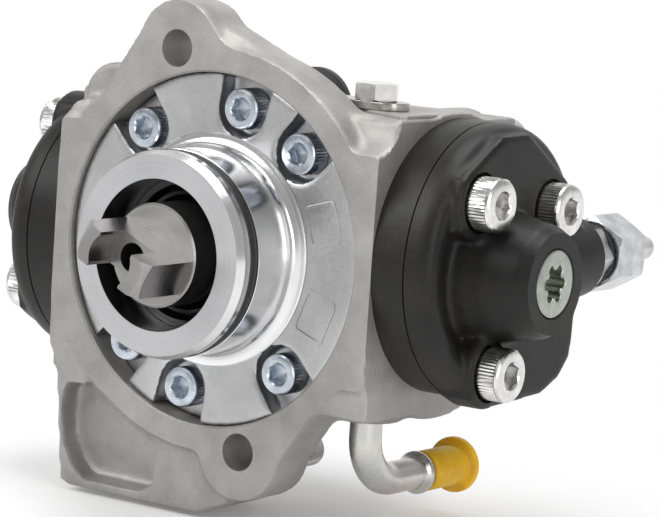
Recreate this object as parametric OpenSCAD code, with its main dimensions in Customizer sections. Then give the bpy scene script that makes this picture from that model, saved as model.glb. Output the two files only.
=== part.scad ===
// Diesel injection pump with two opposed plungers on an eccentric shaft.
// Frame: +Z up, the shaft runs along Y, its drive end looks to -Y and the
// mounting face lies at Y = 0. The plungers lie along X.

/* [Drive pilot and mounting flange] */
// Radius of the turned pilot that centres the pump on the engine
pilot_r = 25; // [23.5:0.5:26]
// Length of the pilot in front of the mounting face
pilot_len = 20.3; // [18:0.1:24]
// Radius of the open mouth inside the pilot
mouth_r = 18.2; // [17:0.1:19]
// Width of the sealing ring groove in the pilot
pilot_groove_w = 3.4; // [2.8:0.1:4]
// Distance from the pilot's end to its groove
pilot_land = 4.1; // [3:0.1:6]
// Radius of the circle on which the two mounting holes lie
mount_pitch_r = 49.4; // [48:0.1:52]
// Angle of the upper mounting hole, seen from the drive end
mount_angle = 105.2; // [100:0.5:112]
// Radius of the mounting holes
mount_hole_r = 4.6; // [4:0.1:5.5]
// Radius of the lug round each mounting hole
lug_r = 12; // [11:0.5:14]
// Thickness of the mounting flange
flange_t = 14; // [10:0.5:16]
// Radius of the round part of the flange
flange_r = 49.4; // [48.5:0.1:51]

/* [Housing casting] */
// Half the height of the block that carries the heads
block_z = 35.8; // [35:0.1:36.5]
// Height of the machined pad on the block above the shaft
pad_z = 37; // [36.6:0.1:39]
// Distance of the lower edge of the skirt below the shaft
skirt_drop = 65; // [63:0.5:67]
// Depth of the cast pocket in the skirt
skirt_pocket_depth = 9; // [6:0.5:14]
// Distance from the mounting face to the back of the skirt
skirt_t = 28; // [24:0.5:30]
// Radius of the bolt's seat cut behind the lower mounting hole
spot_r = 8.5; // [8:0.1:9]
// Set-back of the skirt's front below the mounting face
skirt_set_back = 1.6; // [1:0.1:3]
// Radius of the ring that carries the rear cover
rear_ring_r = 34.4; // [34:0.1:35]
// Radius of the bosses behind the cover screws
cover_boss_r = 5.4; // [5:0.1:6]

/* [Front cover] */
// Radius of the recess that takes the front cover
recess_r = 43; // [42.5:0.1:44]
// Depth of the recess below the mounting face
recess_depth = 12; // [11:0.5:13]
// Set-back of the cover's front below the mounting face
cover_set_back = 1.5; // [1:0.1:2.5]
// Distance from the recess's wall to the circle of the six cover screws
cover_screw_edge = 7.6; // [7:0.1:8]
// Length of the cover screws under the head
cover_screw_len = 16; // [12:1:18]
// Width of the open pockets round the cover screws
cover_pocket_w = 13; // [11:0.5:14]
// Outer radius of the cover's bearing boss
bearing_boss_r = 21; // [19:0.5:23]

/* [Shaft and cam] */
// Radius of the front journal
shaft_r = 12.5; // [11.5:0.1:13]
// Radius of the rear journal
rear_journal_r = 10; // [9:0.1:11]
// Stand-out of the shaft's end disc in front of the pilot
shaft_stand_out = 0.9; // [0:0.1:3]
// Length of the forked drive tang
tang_len = 16.4; // [12:0.1:20]
// Thickness of the drive tang
tang_t = 9; // [7:0.1:10]
// Overall width of the drive tang
tang_w = 20.8; // [18:0.1:22]
// Gap between the two prongs of the tang
tang_slot_w = 10.2; // [8:0.1:11.5]
// Depth of the gap between the prongs
tang_slot_depth = 8.6; // [6:0.1:10]
// Angle at which the tang stands at rest, seen from the drive end
tang_angle = -24; // [-45:1:45]
// Distance from the mounting face to the plunger axes
plunger_y = 31; // [30:0.5:32]
// Eccentricity of the cam, half the plunger stroke
cam_throw = 2.8; // [2:0.1:3]
// Radius of the eccentric
eccentric_r = 16; // [15.5:0.1:16.5]
// Width of the ring cam along the shaft
ring_cam_w = 20; // [16:0.5:20]
// Half the distance across the flats of the ring cam
ring_cam_flat = 20; // [19.5:0.1:20.4]
// Radius at the corners of the ring cam
ring_cam_corner_r = 25; // [24:0.1:25.5]
// Wall of the bush inside the ring cam
cam_bush_wall = 1.5; // [1.2:0.1:2]
// Radius of the cam chamber
chamber_r = 29.5; // [29:0.1:30.5]

/* [Pumping heads] */
// Half the width of the housing between the two head seats
seat_x = 48; // [47:0.1:48.5]
// Radius of the round foot of each head
head_foot_r = 33.2; // [32.5:0.1:34]
// Thickness of the round foot
head_foot_t = 9; // [7:0.5:10]
// Shift of the foot's centre to the rear of the plunger axis
head_foot_dy = 2.4; // [1:0.1:3]
// Shift of the foot's centre above the plunger axis
head_foot_dz = 2.6; // [0:0.1:3.5]
// Height of the head's block above its seat
head_block_h = 18.2; // [17.2:0.1:19.5]
// Height of the central boss above its seat
head_boss_h = 31.6; // [30:0.1:34]
// Radius of the face of the central boss
head_boss_r = 11.8; // [11:0.1:13]
// Radius of the screw plug in the boss
head_plug_r = 8.2; // [7.6:0.1:8.8]
// Length of the screw plug
head_plug_len = 8; // [7:0.5:9]
// Radius of the circle of the three head screws
head_screw_pitch_r = 23.2; // [22.8:0.1:24]
// Height of the head screws' seats above the housing
head_screw_seat_h = 16.4; // [15.5:0.1:17.5]
// Length of the head screws under the head
head_screw_len = 28; // [26:1:30]
// Radius of the spigot that centres the head
spigot_r = 16; // [15:0.1:17]
// Length of the spigot
spigot_len = 6; // [5:0.5:7]
// Outer radius of the plunger barrel
barrel_r = 6.8; // [6.2:0.1:7.2]
// Length of the barrel inside the housing
barrel_len = 13; // [11:0.5:13.5]
// Radius of the plunger
plunger_r = 4.25; // [3.75:0.05:4.5]
// Length of the plunger above its foot
plunger_len = 28.5; // [27:0.1:28.5]

/* [Outlet] */
// Height of the outlet axis above the head seat
outlet_h = 12; // [11.5:0.5:13]
// Height of the outlet axis above the plunger axis
outlet_z = 1.5; // [0:0.1:3]
// Distance from the plunger axis to the outlet's seat face
outlet_seat_dy = 39; // [38:0.5:42]
// Width across the flats of the outlet union
outlet_hex = 14; // [13:0.5:16]
// Length of the union's hexagon
outlet_hex_len = 8.5; // [6:0.5:12]
// Width across the flats of the cap nut
cap_nut_hex = 17; // [16.5:0.5:19]
// Length of the cap nut
cap_nut_len = 13; // [12:0.5:16]
// Radius of the blanking stub
stub_r = 3; // [2.5:0.1:3.5]
// Length of the stub that stands out of the cap nut
stub_len = 15; // [6:0.5:18]

/* [Pipe] */
// Radius of the boss that takes the pipe
pipe_boss_r = 8.4; // [7.5:0.1:9.5]
// Radius of the return pipe
pipe_r = 4; // [3.5:0.1:4.5]
// Distance of the pipe from the pump's middle plane
pipe_x = 36.3; // [35:0.1:38]
// Distance of the pipe from the mounting face
pipe_y = 20; // [18:0.5:22]
// Radius of the pipe's bend
pipe_bend_r = 12; // [9:0.5:14]
// Height of the pipe's level leg below the shaft
pipe_drop = 54; // [50:0.5:58]
// Length of the leg behind the bend
pipe_leg = 22; // [18:0.5:28]
// Radius of the pipe's hose bead
bead_r = 5.4; // [4.8:0.1:6]
// Outer radius of the protective cap
cap_r = 5.1; // [4.9:0.1:5.6]
// Radius of the protective cap's flange
cap_flange_r = 7.1; // [6.2:0.1:8]
// Length of the protective cap
cap_len = 16; // [12:0.5:20]

/* [Feed pump and rear end] */
// Distance from the mounting face to the housing's rear face
rear_y = 66; // [65.5:0.5:68]
// Distance between the axes of the feed rotors
feed_offset = 1.5; // [1.2:0.1:1.6]
// Number of teeth of the outer feed rotor
feed_teeth = 6; // [5:1:7]
// Radius of the circle of the outer rotor's teeth
feed_tooth_pitch_r = 12.6; // [12.4:0.1:13]
// Radius of each tooth of the outer rotor
feed_tooth_r = 4.2; // [4:0.1:4.4]
// Outer radius of the outer feed rotor
feed_rotor_r = 19; // [18.5:0.1:19.5]
// Width of the feed rotors
feed_rotor_w = 7.8; // [6:0.1:8]
// Thickness of the feed pump's wear plate
feed_plate_t = 2; // [1.5:0.1:2.5]
// Radius of the rear cover
rear_cover_r = 30.4; // [29.4:0.1:30.6]
// Thickness of the rear cover
rear_cover_t = 9; // [7:0.5:12]
// Radius of the fuel inlet spigot on the rear cover
inlet_r = 7.5; // [7:0.1:8.5]
// Radius of the inlet's bore
inlet_bore_r = 4.2; // [3.5:0.1:5]
// Length of the inlet spigot
inlet_len = 16; // [12:0.5:18]
// Distance of the inlet below the shaft
inlet_drop = 12; // [11:0.5:13]
// Radius of the circle of the rear cover's screws
rear_screw_pitch_r = 25.6; // [25.2:0.1:26]

/* [Control valve and sensor] */
// Distance of the control valve to the left of the shaft
valve_x = 29; // [28:0.5:31]
// Height of the control valve above the shaft
valve_z = 29; // [28:0.5:31]
// Radius of the control valve's sleeve
valve_sleeve_r = 7.5; // [6.5:0.1:8]
// Radius of the control valve's coil housing
coil_r = 9.6; // [9:0.1:10]
// Length of the control valve's coil housing
coil_len = 15.5; // [14.5:0.5:18]
// Angle of the valve's two screw ears above the level
valve_ear_angle = 20; // [15:1:30]

// Distance of the temperature sensor to the right of the shaft
sensor_x = 30; // [29:0.5:31]
// Height of the temperature sensor above the shaft
sensor_z = 27; // [26.5:0.5:27.5]
// Radius of the temperature sensor's thread
sensor_r = 5; // [4:0.1:5.5]
// Width across the flats of the temperature sensor
sensor_hex = 13; // [12:0.5:14]

/* [Clamp on the top pad] */
// Distance of the clamp's bolt to the right of the shaft
clamp_x = 32; // [28:0.5:34]
// Distance of the clamp's bolt from the mounting face
clamp_y = 21; // [18:0.5:24]
// Thickness of the clamp
clamp_t = 2; // [1.5:0.1:3]
// Width of the clamp
clamp_w = 9.6; // [9:0.1:11]
// Distance from the bolt to the clamp's rounded end
clamp_end = 8.8; // [7:0.1:10]
// Width across the flats of the clamp's bolt head
clamp_hex = 10; // [9:0.5:10.5]
// Length of the clamp's bolt below its head
clamp_bolt_len = 10.5; // [8:0.5:14]

/* [Regulating valve] */
// Distance of the regulating valve from the middle plane
regulator_x = 0.2; // [-1:0.1:1]
// Distance of the regulating valve below the shaft
regulator_drop = 54.5; // [54:0.1:55.5]
// Distance from the mounting face to the plug's seat
regulator_seat_y = 40; // [38:0.5:42]
// Radius of the regulating piston
regulator_r = 3.6; // [3:0.1:3.8]
// Radius of the regulating valve's plug
regulator_plug_r = 4.3; // [4.1:0.1:5]
// Height of the plug's head
regulator_head_h = 9.5; // [8:0.5:11]

/* [Hidden] */

// Clearances and fits
slip = 0.02;
gap = 0.1;
cut = 1;
press = 0.02;
bush_wall = 1.5;

// Screw sizes: shank and head radii, head heights, socket sizes
m8_r = 3.95;
m8_hole_r = 4.4;
m8_head_r = 6.5;
m8_head_h = 8;
m8_socket = 6;
m6_r = 2.95;
m6_hole_r = 3.3;
m6_head_r = 5;
m6_head_h = 6;
m6_socket = 5;
thread_gap = 0.05;

gap_below = 0.3;
rear_screw_r = 2.45;
rear_screw_len = 12;
rear_screw_head_r = 4.2;
rear_screw_head_h = 4;
rear_screw_socket = 4;
valve_screw_r = 1.95;
valve_screw_len = 10;
valve_screw_head_r = 3.4;
valve_screw_head_h = 2.6;
valve_screw_socket = 3;

cover_screw_pitch_r = recess_r - cover_screw_edge;

// Places along the shaft
cover_front_y = cover_set_back;
cover_back_y = recess_depth;
pocket_floor_y = 6.8;
chamber_back_y = 44;
pilot_groove_d = 2.6;
rim_groove_y = recess_depth - 1;
rim_groove_w = 2.4;
rim_groove_d = 2.3;
cover_screw_end_y = pocket_floor_y + cover_screw_len;
bearing_boss_y = plunger_y - ring_cam_w / 2 - 2;
feed_front_y = rear_y - feed_rotor_w - feed_plate_t;
shaft_front_y = -pilot_len - shaft_stand_out;
tang_front_y = shaft_front_y - tang_len;
tang_r = shaft_r - 0.8;
tang_hollow_r = 6.25;
centre_mouth_r = 3.5;
centre_r = 2;
cam_front_y = plunger_y - ring_cam_w / 2;
cam_back_y = plunger_y + ring_cam_w / 2;
shaft_end_y = rear_y - feed_plate_t - 0.4;

// Housing
body_back_y = rear_y - 6;
block_front_y = 4;
pad_front_y = 9;
pad_len = 33;
pad_x = 6;
pad_w = 40;
spot_depth = 0.4;
regulator_side = 5.6;
spring_bore_r = 12.6;
spring_bore_x = 20;
valve_boss_r = 13.5;
valve_boss_y = 40;
valve_depth = 16;
web_set_back = 3.4;
web_inset = 0.4;
lower_web_angle = -42.3;
left_web_angle = 132;
right_web_angle = 74;
screw_bottom = 1;
pipe_duct_r = 2.4;
plate_pocket = 2.4;
sensor_depth = 12;
sensor_stand = 20;

// Cam and plunger places
cam_bore_r = eccentric_r + cam_bush_wall;
foot_t = 2.4;
foot_r = 9;
foot_edge = 0.6;
foot_x = ring_cam_flat + cam_throw + gap;
stroke = 2 * cam_throw;
barrel_bore_r = plunger_r + slip;
seat_disc_r = 10.9;
seat_disc_t = 1.6;
chamber_h = foot_x + foot_t + plunger_len + stroke - seat_x + 0.6;

// Suction valve, heights above the head's seat
suction_r = 7;
suction_h0 = chamber_h + 0.4;
suction_h1 = suction_h0 + 5;
plug_h0 = head_boss_h - head_plug_len;
valve_lift = 0.9;
suction_disc_r = 3.4;
suction_disc_t = 1.1;
suction_stem_r = 1.2;
suction_pocket = suction_disc_t + valve_lift + 0.4;
retainer_t = 0.9;
retainer_r = 3;
retainer_h = plug_h0 - retainer_t - 0.3;

// Delivery valve, distances to the rear of the plunger axis
ball_r = 2.5;
ball_bore_r = 3.1;
delivery_hole_r = 1.1;
ball_dy = 18.6;
ball_seat_dy = ball_dy - 1.9;
ball_rest_dy = 1.4;
outlet_thread_r = 6.2;
outlet_thread_dy = outlet_seat_dy - 12;
outlet_y = plunger_y + outlet_seat_dy;
outlet_x = seat_x + outlet_h;
outlet_boss_r = 10.2;
nipple_r = 5.6;
nut_y = outlet_y + outlet_hex_len + 1.5;
nut_wall = 3;
collar_t = 3.3;
cone_r = 3.9;
union_bore_r = 1.4;
spring_seat_r = 2.5;

// Feed pump
feed_root_r = feed_tooth_pitch_r - feed_tooth_r + 2 * feed_offset + 0.12;
feed_tip_gap = 0.1;
feed_steps = 240;
drive_gap = 0.6;
feed_gap = 0.05;
feed_drive_r = 5;
feed_drive_flat = 4.2;

// Pipe
pipe_wall = 1;
pipe_port_depth = 8;
bend_y = pipe_y + pipe_bend_r;
bend_z = -pipe_drop + pipe_bend_r;
bead_at = 11.5;
cap_start = bead_at + 2.6;

// Control valve
valve_flange_t = 3;
valve_flange_r = 10.3;
valve_ear_at = 13.4;
valve_ear_r = 4.6;
valve_bore_r = 3;
valve_port_r = 1.8;
coil_floor = 12;
coil_rim = 1.7;
valve_needle_end_y = rear_y + 6;
valve_plug_y = rear_y + 8.2;
connector_w = 14;
connector_d = 10;
connector_h = 12;
connector_wall = 1.4;

// Regulating valve
regulator_piston_len = 5;
regulator_piston_y = regulator_seat_y - 16;
regulator_end_y = regulator_piston_y - regulator_piston_len;
regulator_wall = 1;
regulator_crown = 2;
regulator_shank = 6.9;
regulator_spring_y = regulator_end_y + regulator_crown + 0.05;
regulator_spring_len = regulator_seat_y - regulator_shank - regulator_spring_y - 0.05;

// Rear cover
rear_flange_t = 5.4;
rear_cover_chamfer = 1;
rear_dome_r = 20;
rear_screw_end_y = rear_y + rear_flange_t - rear_screw_len;

module slab_y(y0, y1) {
  translate([0, y1, 0])
    rotate([90, 0, 0])
      linear_extrude(y1 - y0)
        children();
}

module slab_x(x0, x1) {
  translate([x0, 0, 0])
    rotate([90, 0, 90])
      linear_extrude(x1 - x0)
        children();
}

module cyl_y(r, y0, y1, x = 0, z = 0, n = 48) {
  translate([x, y0, z])
    rotate([-90, 0, 0])
      cylinder(r = r, h = y1 - y0, $fn = n);
}

module cyl_x(r, x0, x1, y = 0, z = 0, n = 48) {
  translate([x0, y, z])
    rotate([0, 90, 0])
      cylinder(r = r, h = x1 - x0, $fn = n);
}

module turned_y(p, x = 0, z = 0, n = 64) {
  translate([x, 0, z])
    rotate([-90, 0, 0])
      rotate_extrude($fn = n)
        polygon(p);
}

module turned_x(p, y = 0, z = 0, n = 64) {
  translate([0, y, z])
    rotate([0, 90, 0])
      rotate_extrude($fn = n)
        polygon(p);
}

module ring_y(r, section, y, n = 64) {
  translate([0, y, 0])
    rotate([-90, 0, 0])
      rotate_extrude($fn = n)
        translate([r, 0])
          circle(r = section, $fn = 20);
}

// A wound compression spring along +Z with its wire inside 0 to length
function coil_ring(r, wire, length, turns, i, steps, sides) =
  let (a = 360 * turns * i / steps)
  let (z = wire + (length - 2 * wire) * i / steps)
  [for (k = [0:sides - 1])
    let (b = 360 * k / sides)
    let (d = r + wire * cos(b))
    [d * cos(a), d * sin(a), z + wire * sin(b)]];

module coil(r, wire, length, turns) {
  sides = 8;
  steps = turns * 18;
  points = [for (i = [0:steps]) each coil_ring(r, wire, length, turns, i, steps, sides)];
  walls = [for (i = [0:steps - 1], k = [0:sides - 1])
    [i * sides + k, (i + 1) * sides + k,
     (i + 1) * sides + (k + 1) % sides, i * sides + (k + 1) % sides]];
  first = [for (k = [0:sides - 1]) k];
  last = [for (k = [0:sides - 1]) steps * sides + sides - 1 - k];
  polyhedron(points, concat(walls, [first, last]), convexity = 6);
}

// A socket head screw along +Z, its head's seat at z = 0
module socket_screw(shank_r, len, head_r, head_h, socket) {
  rim = 0.5;
  depth = head_h * 0.55;
  difference() {
    union() {
      translate([0, 0, -len])
        cylinder(r = shank_r, h = len + rim, $fn = 32);
      cylinder(r = head_r, h = head_h - rim, $fn = 48);
      translate([0, 0, head_h - rim])
        cylinder(r1 = head_r, r2 = head_r - rim, h = rim, $fn = 48);
    }
    translate([0, 0, head_h - depth])
      cylinder(r = socket / sqrt(3), h = depth + cut, $fn = 6);
  }
}

// The left head repeats the right one turned half a turn about the shaft
module other_side() {
  rotate([0, 180, 0])
    children();
}

module on_side(side) {
  rotate([0, side == "left" ? 180 : 0, 0])
    children();
}

cover_screw_angles = [129.5, 79.4, 46.9, -50.5, -100.6, -133.1];

module at_cover_screws() {
  for (a = cover_screw_angles)
    rotate([0, -a, 0])
      translate([cover_screw_pitch_r, 0, 0])
        children();
}

head_screw_angles = [127.6, 41.8, -101.2];

module at_head_screws() {
  for (a = head_screw_angles)
    translate([0, plunger_y, 0])
      rotate([a, 0, 0])
        translate([0, head_screw_pitch_r, 0])
          children();
}

module at_mount(a) {
  translate([mount_pitch_r * cos(a), 0, mount_pitch_r * sin(a)])
    children();
}

module at_valve_ears() {
  translate([-valve_x, 0, valve_z])
    for (a = [valve_ear_angle, valve_ear_angle + 180])
      rotate([0, -a, 0])
        translate([valve_ear_at, 0, 0])
          children();
}

rear_screw_angles = [0, 60, 120, 180, 240, 300];

module at_rear_screws() {
  for (a = rear_screw_angles)
    rotate([0, -a, 0])
      translate([rear_screw_pitch_r, 0, 0])
        children();
}

// Point at which a line from p touches the circle of radius r round c
function touch(p, c, r, side) =
  let (d = c - p)
  let (a = atan2(d[1], d[0]) + side * asin(r / norm(d)))
  p + sqrt(d * d - r * r) * [cos(a), sin(a)];

// Straight web from the rim of the flange to the side of a lug
module lug_web(lug_angle, rim_angle, side, set_back = 0) {
  lug = mount_pitch_r * [cos(lug_angle), sin(lug_angle)];
  rim = (flange_r - web_inset) * [cos(rim_angle), sin(rim_angle)];
  slab_y(set_back, flange_t)
    polygon([rim, touch(rim, lug, lug_r - web_inset, side), lug, rim / 2]);
}

// Die-cast aluminium housing with the mounting flange
module skirt_outline() {
  polygon([[-seat_x + 0.4, -28], [-43.4, 1 - skirt_drop], [-40, -skirt_drop], [0, -skirt_drop],
           [9, 3.7 - skirt_drop], [13, -50], [13, -28]]);
}

module skirt_pocket() {
  wall = 2.4;
  low = wall - skirt_drop;
  polygon([[-42, -40], [-42, low + 4.6], [-36.5, low], [-18, low], [-13.5, low + 3.6],
           [-13.4, -50.5], [-26, -45.5], [-36, -38.4]]);
}

module housing_outside() {
  intersection() {
    cyl_y(flange_r, 0, flange_t, n = 96);
    translate([-seat_x, 0, -flange_r])
      cube([2 * seat_x, flange_t, 2 * flange_r]);
  }
  at_mount(mount_angle)
    cyl_y(lug_r, 0, flange_t, n = 64);
  at_mount(mount_angle - 180)
    cyl_y(lug_r, 0, flange_t, n = 64);
  lug_web(mount_angle, left_web_angle, 1);
  lug_web(mount_angle, right_web_angle, -1, web_set_back);
  lug_web(mount_angle - 180, lower_web_angle, 1);
  translate([-seat_x, 0, -28.4])
    cube([2 * seat_x, flange_t, 56.6]);
  translate([-seat_x, block_front_y, -block_z])
    cube([2 * seat_x, body_back_y - block_front_y, 2 * block_z]);
  slab_y(skirt_set_back, flange_t)
    skirt_outline();
  slab_y(flange_t, skirt_t)
    intersection() {
      skirt_outline();
      translate([-seat_x, -skirt_drop])
        square([seat_x + regulator_x + regulator_side, skirt_drop]);
    }
  translate([pad_x, pad_front_y, pad_z - 17])
    cube([pad_w, pad_len, 17]);
  slab_y(skirt_t, regulator_seat_y)
    polygon([[regulator_x - 10.2, -30], [regulator_x - 10.2, -regulator_drop - 2.4],
             [regulator_x - 7.2, -regulator_drop - 7],
             [regulator_x + regulator_side - 3, -regulator_drop - 7],
             [regulator_x + regulator_side, -regulator_drop - 4], [regulator_x + regulator_side, -30]]);
  translate([pipe_x, pipe_y, -block_z - 2])
    cylinder(r = pipe_boss_r, h = 6, $fn = 48);
  cyl_y(rear_ring_r, body_back_y - cut, rear_y, n = 96);
  cyl_y(valve_boss_r, valve_boss_y, rear_y, -valve_x, valve_z);
  at_valve_ears()
    cyl_y(valve_ear_r, body_back_y - 8, rear_y, n = 32);
  at_cover_screws()
    cyl_y(cover_boss_r, recess_depth, cover_screw_end_y + screw_bottom + 2, n = 32);
}

module head_ports() {
  cyl_x(spigot_r + slip, seat_x - spigot_len - gap_below, seat_x + cut, plunger_y, n = 64);
  cyl_x(spring_bore_r, spring_bore_x, seat_x, plunger_y);
  at_head_screws()
    cyl_x(m8_r + thread_gap, seat_x + head_screw_seat_h - head_screw_len - screw_bottom,
          seat_x + cut, n = 32);
}

module pump_housing() {
  color([0.72, 0.71, 0.68])
    difference() {
      housing_outside();
      cyl_y(recess_r, -cut, recess_depth, n = 128);
      cyl_y(chamber_r, 0, chamber_back_y, n = 96);
      cyl_y(rear_journal_r + bush_wall + press, chamber_back_y - cut, rear_y, n = 64);
      cyl_y(feed_rotor_r + slip, feed_front_y, rear_y + cut, -feed_offset, n = 96);
      cyl_y(feed_rotor_r + plate_pocket, rear_y - feed_plate_t, rear_y + cut, n = 96);
      at_mount(mount_angle)
        cyl_y(mount_hole_r, -cut, flange_t + cut);
      at_mount(mount_angle - 180) {
        cyl_y(mount_hole_r, -cut, flange_t + cut);
        cyl_y(spot_r, flange_t - spot_depth, regulator_seat_y + cut);
      }
      at_cover_screws()
        cyl_y(m6_r + thread_gap, 0, cover_screw_end_y + screw_bottom, n = 32);
      at_rear_screws()
        cyl_y(rear_screw_r + thread_gap, rear_screw_end_y - screw_bottom, rear_y + cut, n = 32);
      head_ports();
      other_side()
        head_ports();
      slab_y(-cut, skirt_pocket_depth)
        skirt_pocket();
      translate([pipe_x, pipe_y, -block_z - 3])
        cylinder(r = pipe_r + press, h = pipe_port_depth + 3, $fn = 48);
      translate([pipe_x, pipe_y, pipe_port_depth - block_z - cut])
        cylinder(r = pipe_duct_r, h = 6, $fn = 32);
      cyl_y(regulator_r + slip, regulator_end_y - screw_bottom, regulator_seat_y + cut,
            regulator_x, -regulator_drop, 32);
      cyl_y(valve_sleeve_r + slip, rear_y - valve_depth - screw_bottom, rear_y + cut, -valve_x,
            valve_z);
      at_valve_ears()
        cyl_y(valve_screw_r + thread_gap, rear_y + valve_flange_t - valve_screw_len - screw_bottom,
              rear_y + cut, n = 24);
      translate([clamp_x, clamp_y, pad_z + clamp_t - clamp_bolt_len - screw_bottom])
        cylinder(r = m6_r + thread_gap, h = clamp_bolt_len + 2, $fn = 32);
      cyl_y(sensor_r + slip, rear_y - sensor_depth, rear_y + cut, sensor_x, sensor_z, 32);
    }
}

// Front cover with the turned pilot and the front bearing boss
module front_cover() {
  groove_y0 = -pilot_len + pilot_land;
  groove_y1 = groove_y0 + pilot_groove_w;
  groove_r = pilot_r - pilot_groove_d;
  bush_seat_r = shaft_r + bush_wall;
  rim_r = recess_r - gap;
  color([0.66, 0.67, 0.68])
    difference() {
      turned_y([[mouth_r, -pilot_len], [pilot_r - 1, -pilot_len], [pilot_r, -pilot_len + 2.3],
                [pilot_r, groove_y0], [groove_r, groove_y0], [groove_r, groove_y1],
                [pilot_r, groove_y1], [pilot_r, -2], [pilot_r + 0.7, 0.2],
                [pilot_r + 2.4, cover_front_y], [rim_r - 0.5, cover_front_y],
                [rim_r, cover_front_y + 0.6], [rim_r, rim_groove_y - rim_groove_w],
                [rim_r - rim_groove_d, rim_groove_y - rim_groove_w],
                [rim_r - rim_groove_d, rim_groove_y], [rim_r, rim_groove_y],
                [rim_r, cover_back_y],
                [bearing_boss_r, cover_back_y], [bearing_boss_r, bearing_boss_y],
                [bush_seat_r, bearing_boss_y], [bush_seat_r, 2], [bush_seat_r - 0.8, 1],
                [bush_seat_r - 0.8, -1.4], [mouth_r, -1.4]],
               n = 128);
      at_cover_screws() {
        cyl_y(m6_hole_r, cover_front_y - cut, cover_back_y + cut, n = 32);
        cyl_y(cover_pocket_w / 2, cover_front_y - cut, pocket_floor_y);
        translate([0, cover_front_y - cut, -cover_pocket_w / 2])
          cube([recess_r, pocket_floor_y - cover_front_y + cut, cover_pocket_w]);
      }
    }
}

module pilot_o_ring() {
  section = (pilot_groove_d - 3 * slip) / 2;
  color([0.05, 0.05, 0.05])
    ring_y(pilot_r - pilot_groove_d + slip + section, section,
           -pilot_len + pilot_land + pilot_groove_w / 2);
}

module cover_seal() {
  section = rim_groove_d / 2;
  color([0.05, 0.05, 0.05])
    ring_y(recess_r - gap - rim_groove_d + slip + section, section - slip / 2,
           rim_groove_y - rim_groove_w / 2);
}

module front_cover_screws() {
  color([0.75, 0.77, 0.8])
    at_cover_screws()
      translate([0, pocket_floor_y, 0])
        rotate([90, 0, 0])
          socket_screw(m6_r, cover_screw_len, m6_head_r, m6_head_h, m6_socket);
}

// Rotary shaft seal with its lip towards the fuel side
module shaft_seal() {
  lip_r = shaft_r + 0.06;
  out_r = mouth_r - press;
  color([0.06, 0.06, 0.07])
    turned_y([[out_r, -9], [out_r, -2], [lip_r + 1.2, -2], [lip_r, -4.6], [lip_r, -5.2],
              [lip_r + 1.2, -8.2], [lip_r + 2.2, -8.2], [lip_r + 1.6, -5], [out_r - 1.4, -3.8],
              [out_r - 1.4, -9]]);
}

module front_bush() {
  color([0.7, 0.55, 0.35])
    difference() {
      cyl_y(shaft_r + bush_wall - press, 2.6, bearing_boss_y - 0.4, n = 64);
      cyl_y(shaft_r + slip, 0, bearing_boss_y + cut, n = 64);
    }
}

module rear_bush() {
  color([0.7, 0.55, 0.35])
    difference() {
      cyl_y(rear_journal_r + bush_wall, chamber_back_y + 0.4, feed_front_y - 0.2, n = 64);
      cyl_y(rear_journal_r + slip, chamber_back_y, rear_y, n = 64);
    }
}

// Shaft in one piece with its eccentric and its forked drive tang
module drive_shaft() {
  color([0.35, 0.35, 0.37])
    difference() {
      union() {
        turned_y([[0, shaft_front_y], [shaft_r - 0.4, shaft_front_y],
                  [shaft_r, shaft_front_y + 0.4], [shaft_r, cam_front_y - 0.5], [0, cam_front_y - 0.5]],
                 n = 96);
        cyl_y(shaft_r + 0.5, cam_front_y - 0.6, cam_front_y, n = 64);
        cyl_y(eccentric_r, cam_front_y, cam_back_y, cam_throw, n = 96);
        cyl_y(rear_journal_r + 2, cam_back_y, cam_back_y + 1.5, n = 64);
        cyl_y(rear_journal_r, cam_back_y, feed_front_y - 0.1, n = 64);
        intersection() {
          cyl_y(feed_drive_r, feed_front_y - cut, shaft_end_y, n = 48);
          translate([-feed_drive_flat, 0, -feed_drive_r])
            cube([2 * feed_drive_flat, shaft_end_y, 2 * feed_drive_r]);
        }
        rotate([0, -tang_angle, 0])
          intersection() {
            translate([-tang_w / 2, tang_front_y, -tang_t / 2])
              cube([tang_w, tang_len + cut, tang_t]);
            turned_y([[0, tang_front_y], [tang_r - 2.4, tang_front_y], [tang_r, tang_front_y + 2.4],
                      [tang_r, shaft_front_y + cut], [0, shaft_front_y + cut]], n = 96);
          }
      }
      rotate([0, -tang_angle, 0]) {
        translate([-tang_slot_w / 2, tang_front_y - cut, -tang_t])
          cube([tang_slot_w, tang_slot_depth + cut, 2 * tang_t]);
        cyl_y(tang_hollow_r, tang_front_y - cut, tang_front_y + tang_slot_depth - 0.6);
      }
      turned_y([[0, shaft_front_y - 8], [centre_mouth_r, shaft_front_y - 8],
                [centre_mouth_r, shaft_front_y - 3], [centre_r, shaft_front_y],
                [centre_r, shaft_front_y + 6], [0, shaft_front_y + 7.2]], n = 32);
    }
}

module ring_cam() {
  color([0.4, 0.4, 0.42])
    translate([cam_throw, 0, 0])
      difference() {
        intersection() {
          translate([-ring_cam_flat, cam_front_y + 0.3, -ring_cam_flat])
            cube([2 * ring_cam_flat, ring_cam_w - 0.6, 2 * ring_cam_flat]);
          cyl_y(ring_cam_corner_r, cam_front_y, cam_back_y, n = 96);
        }
        cyl_y(cam_bore_r + slip, 0, 60, n = 96);
      }
}

module ring_cam_bush() {
  color([0.7, 0.55, 0.35])
    translate([cam_throw, 0, 0])
      difference() {
        cyl_y(cam_bore_r, cam_front_y + 0.8, cam_back_y - 0.8, n = 96);
        cyl_y(eccentric_r + slip, 0, 60, n = 96);
      }
}

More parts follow.
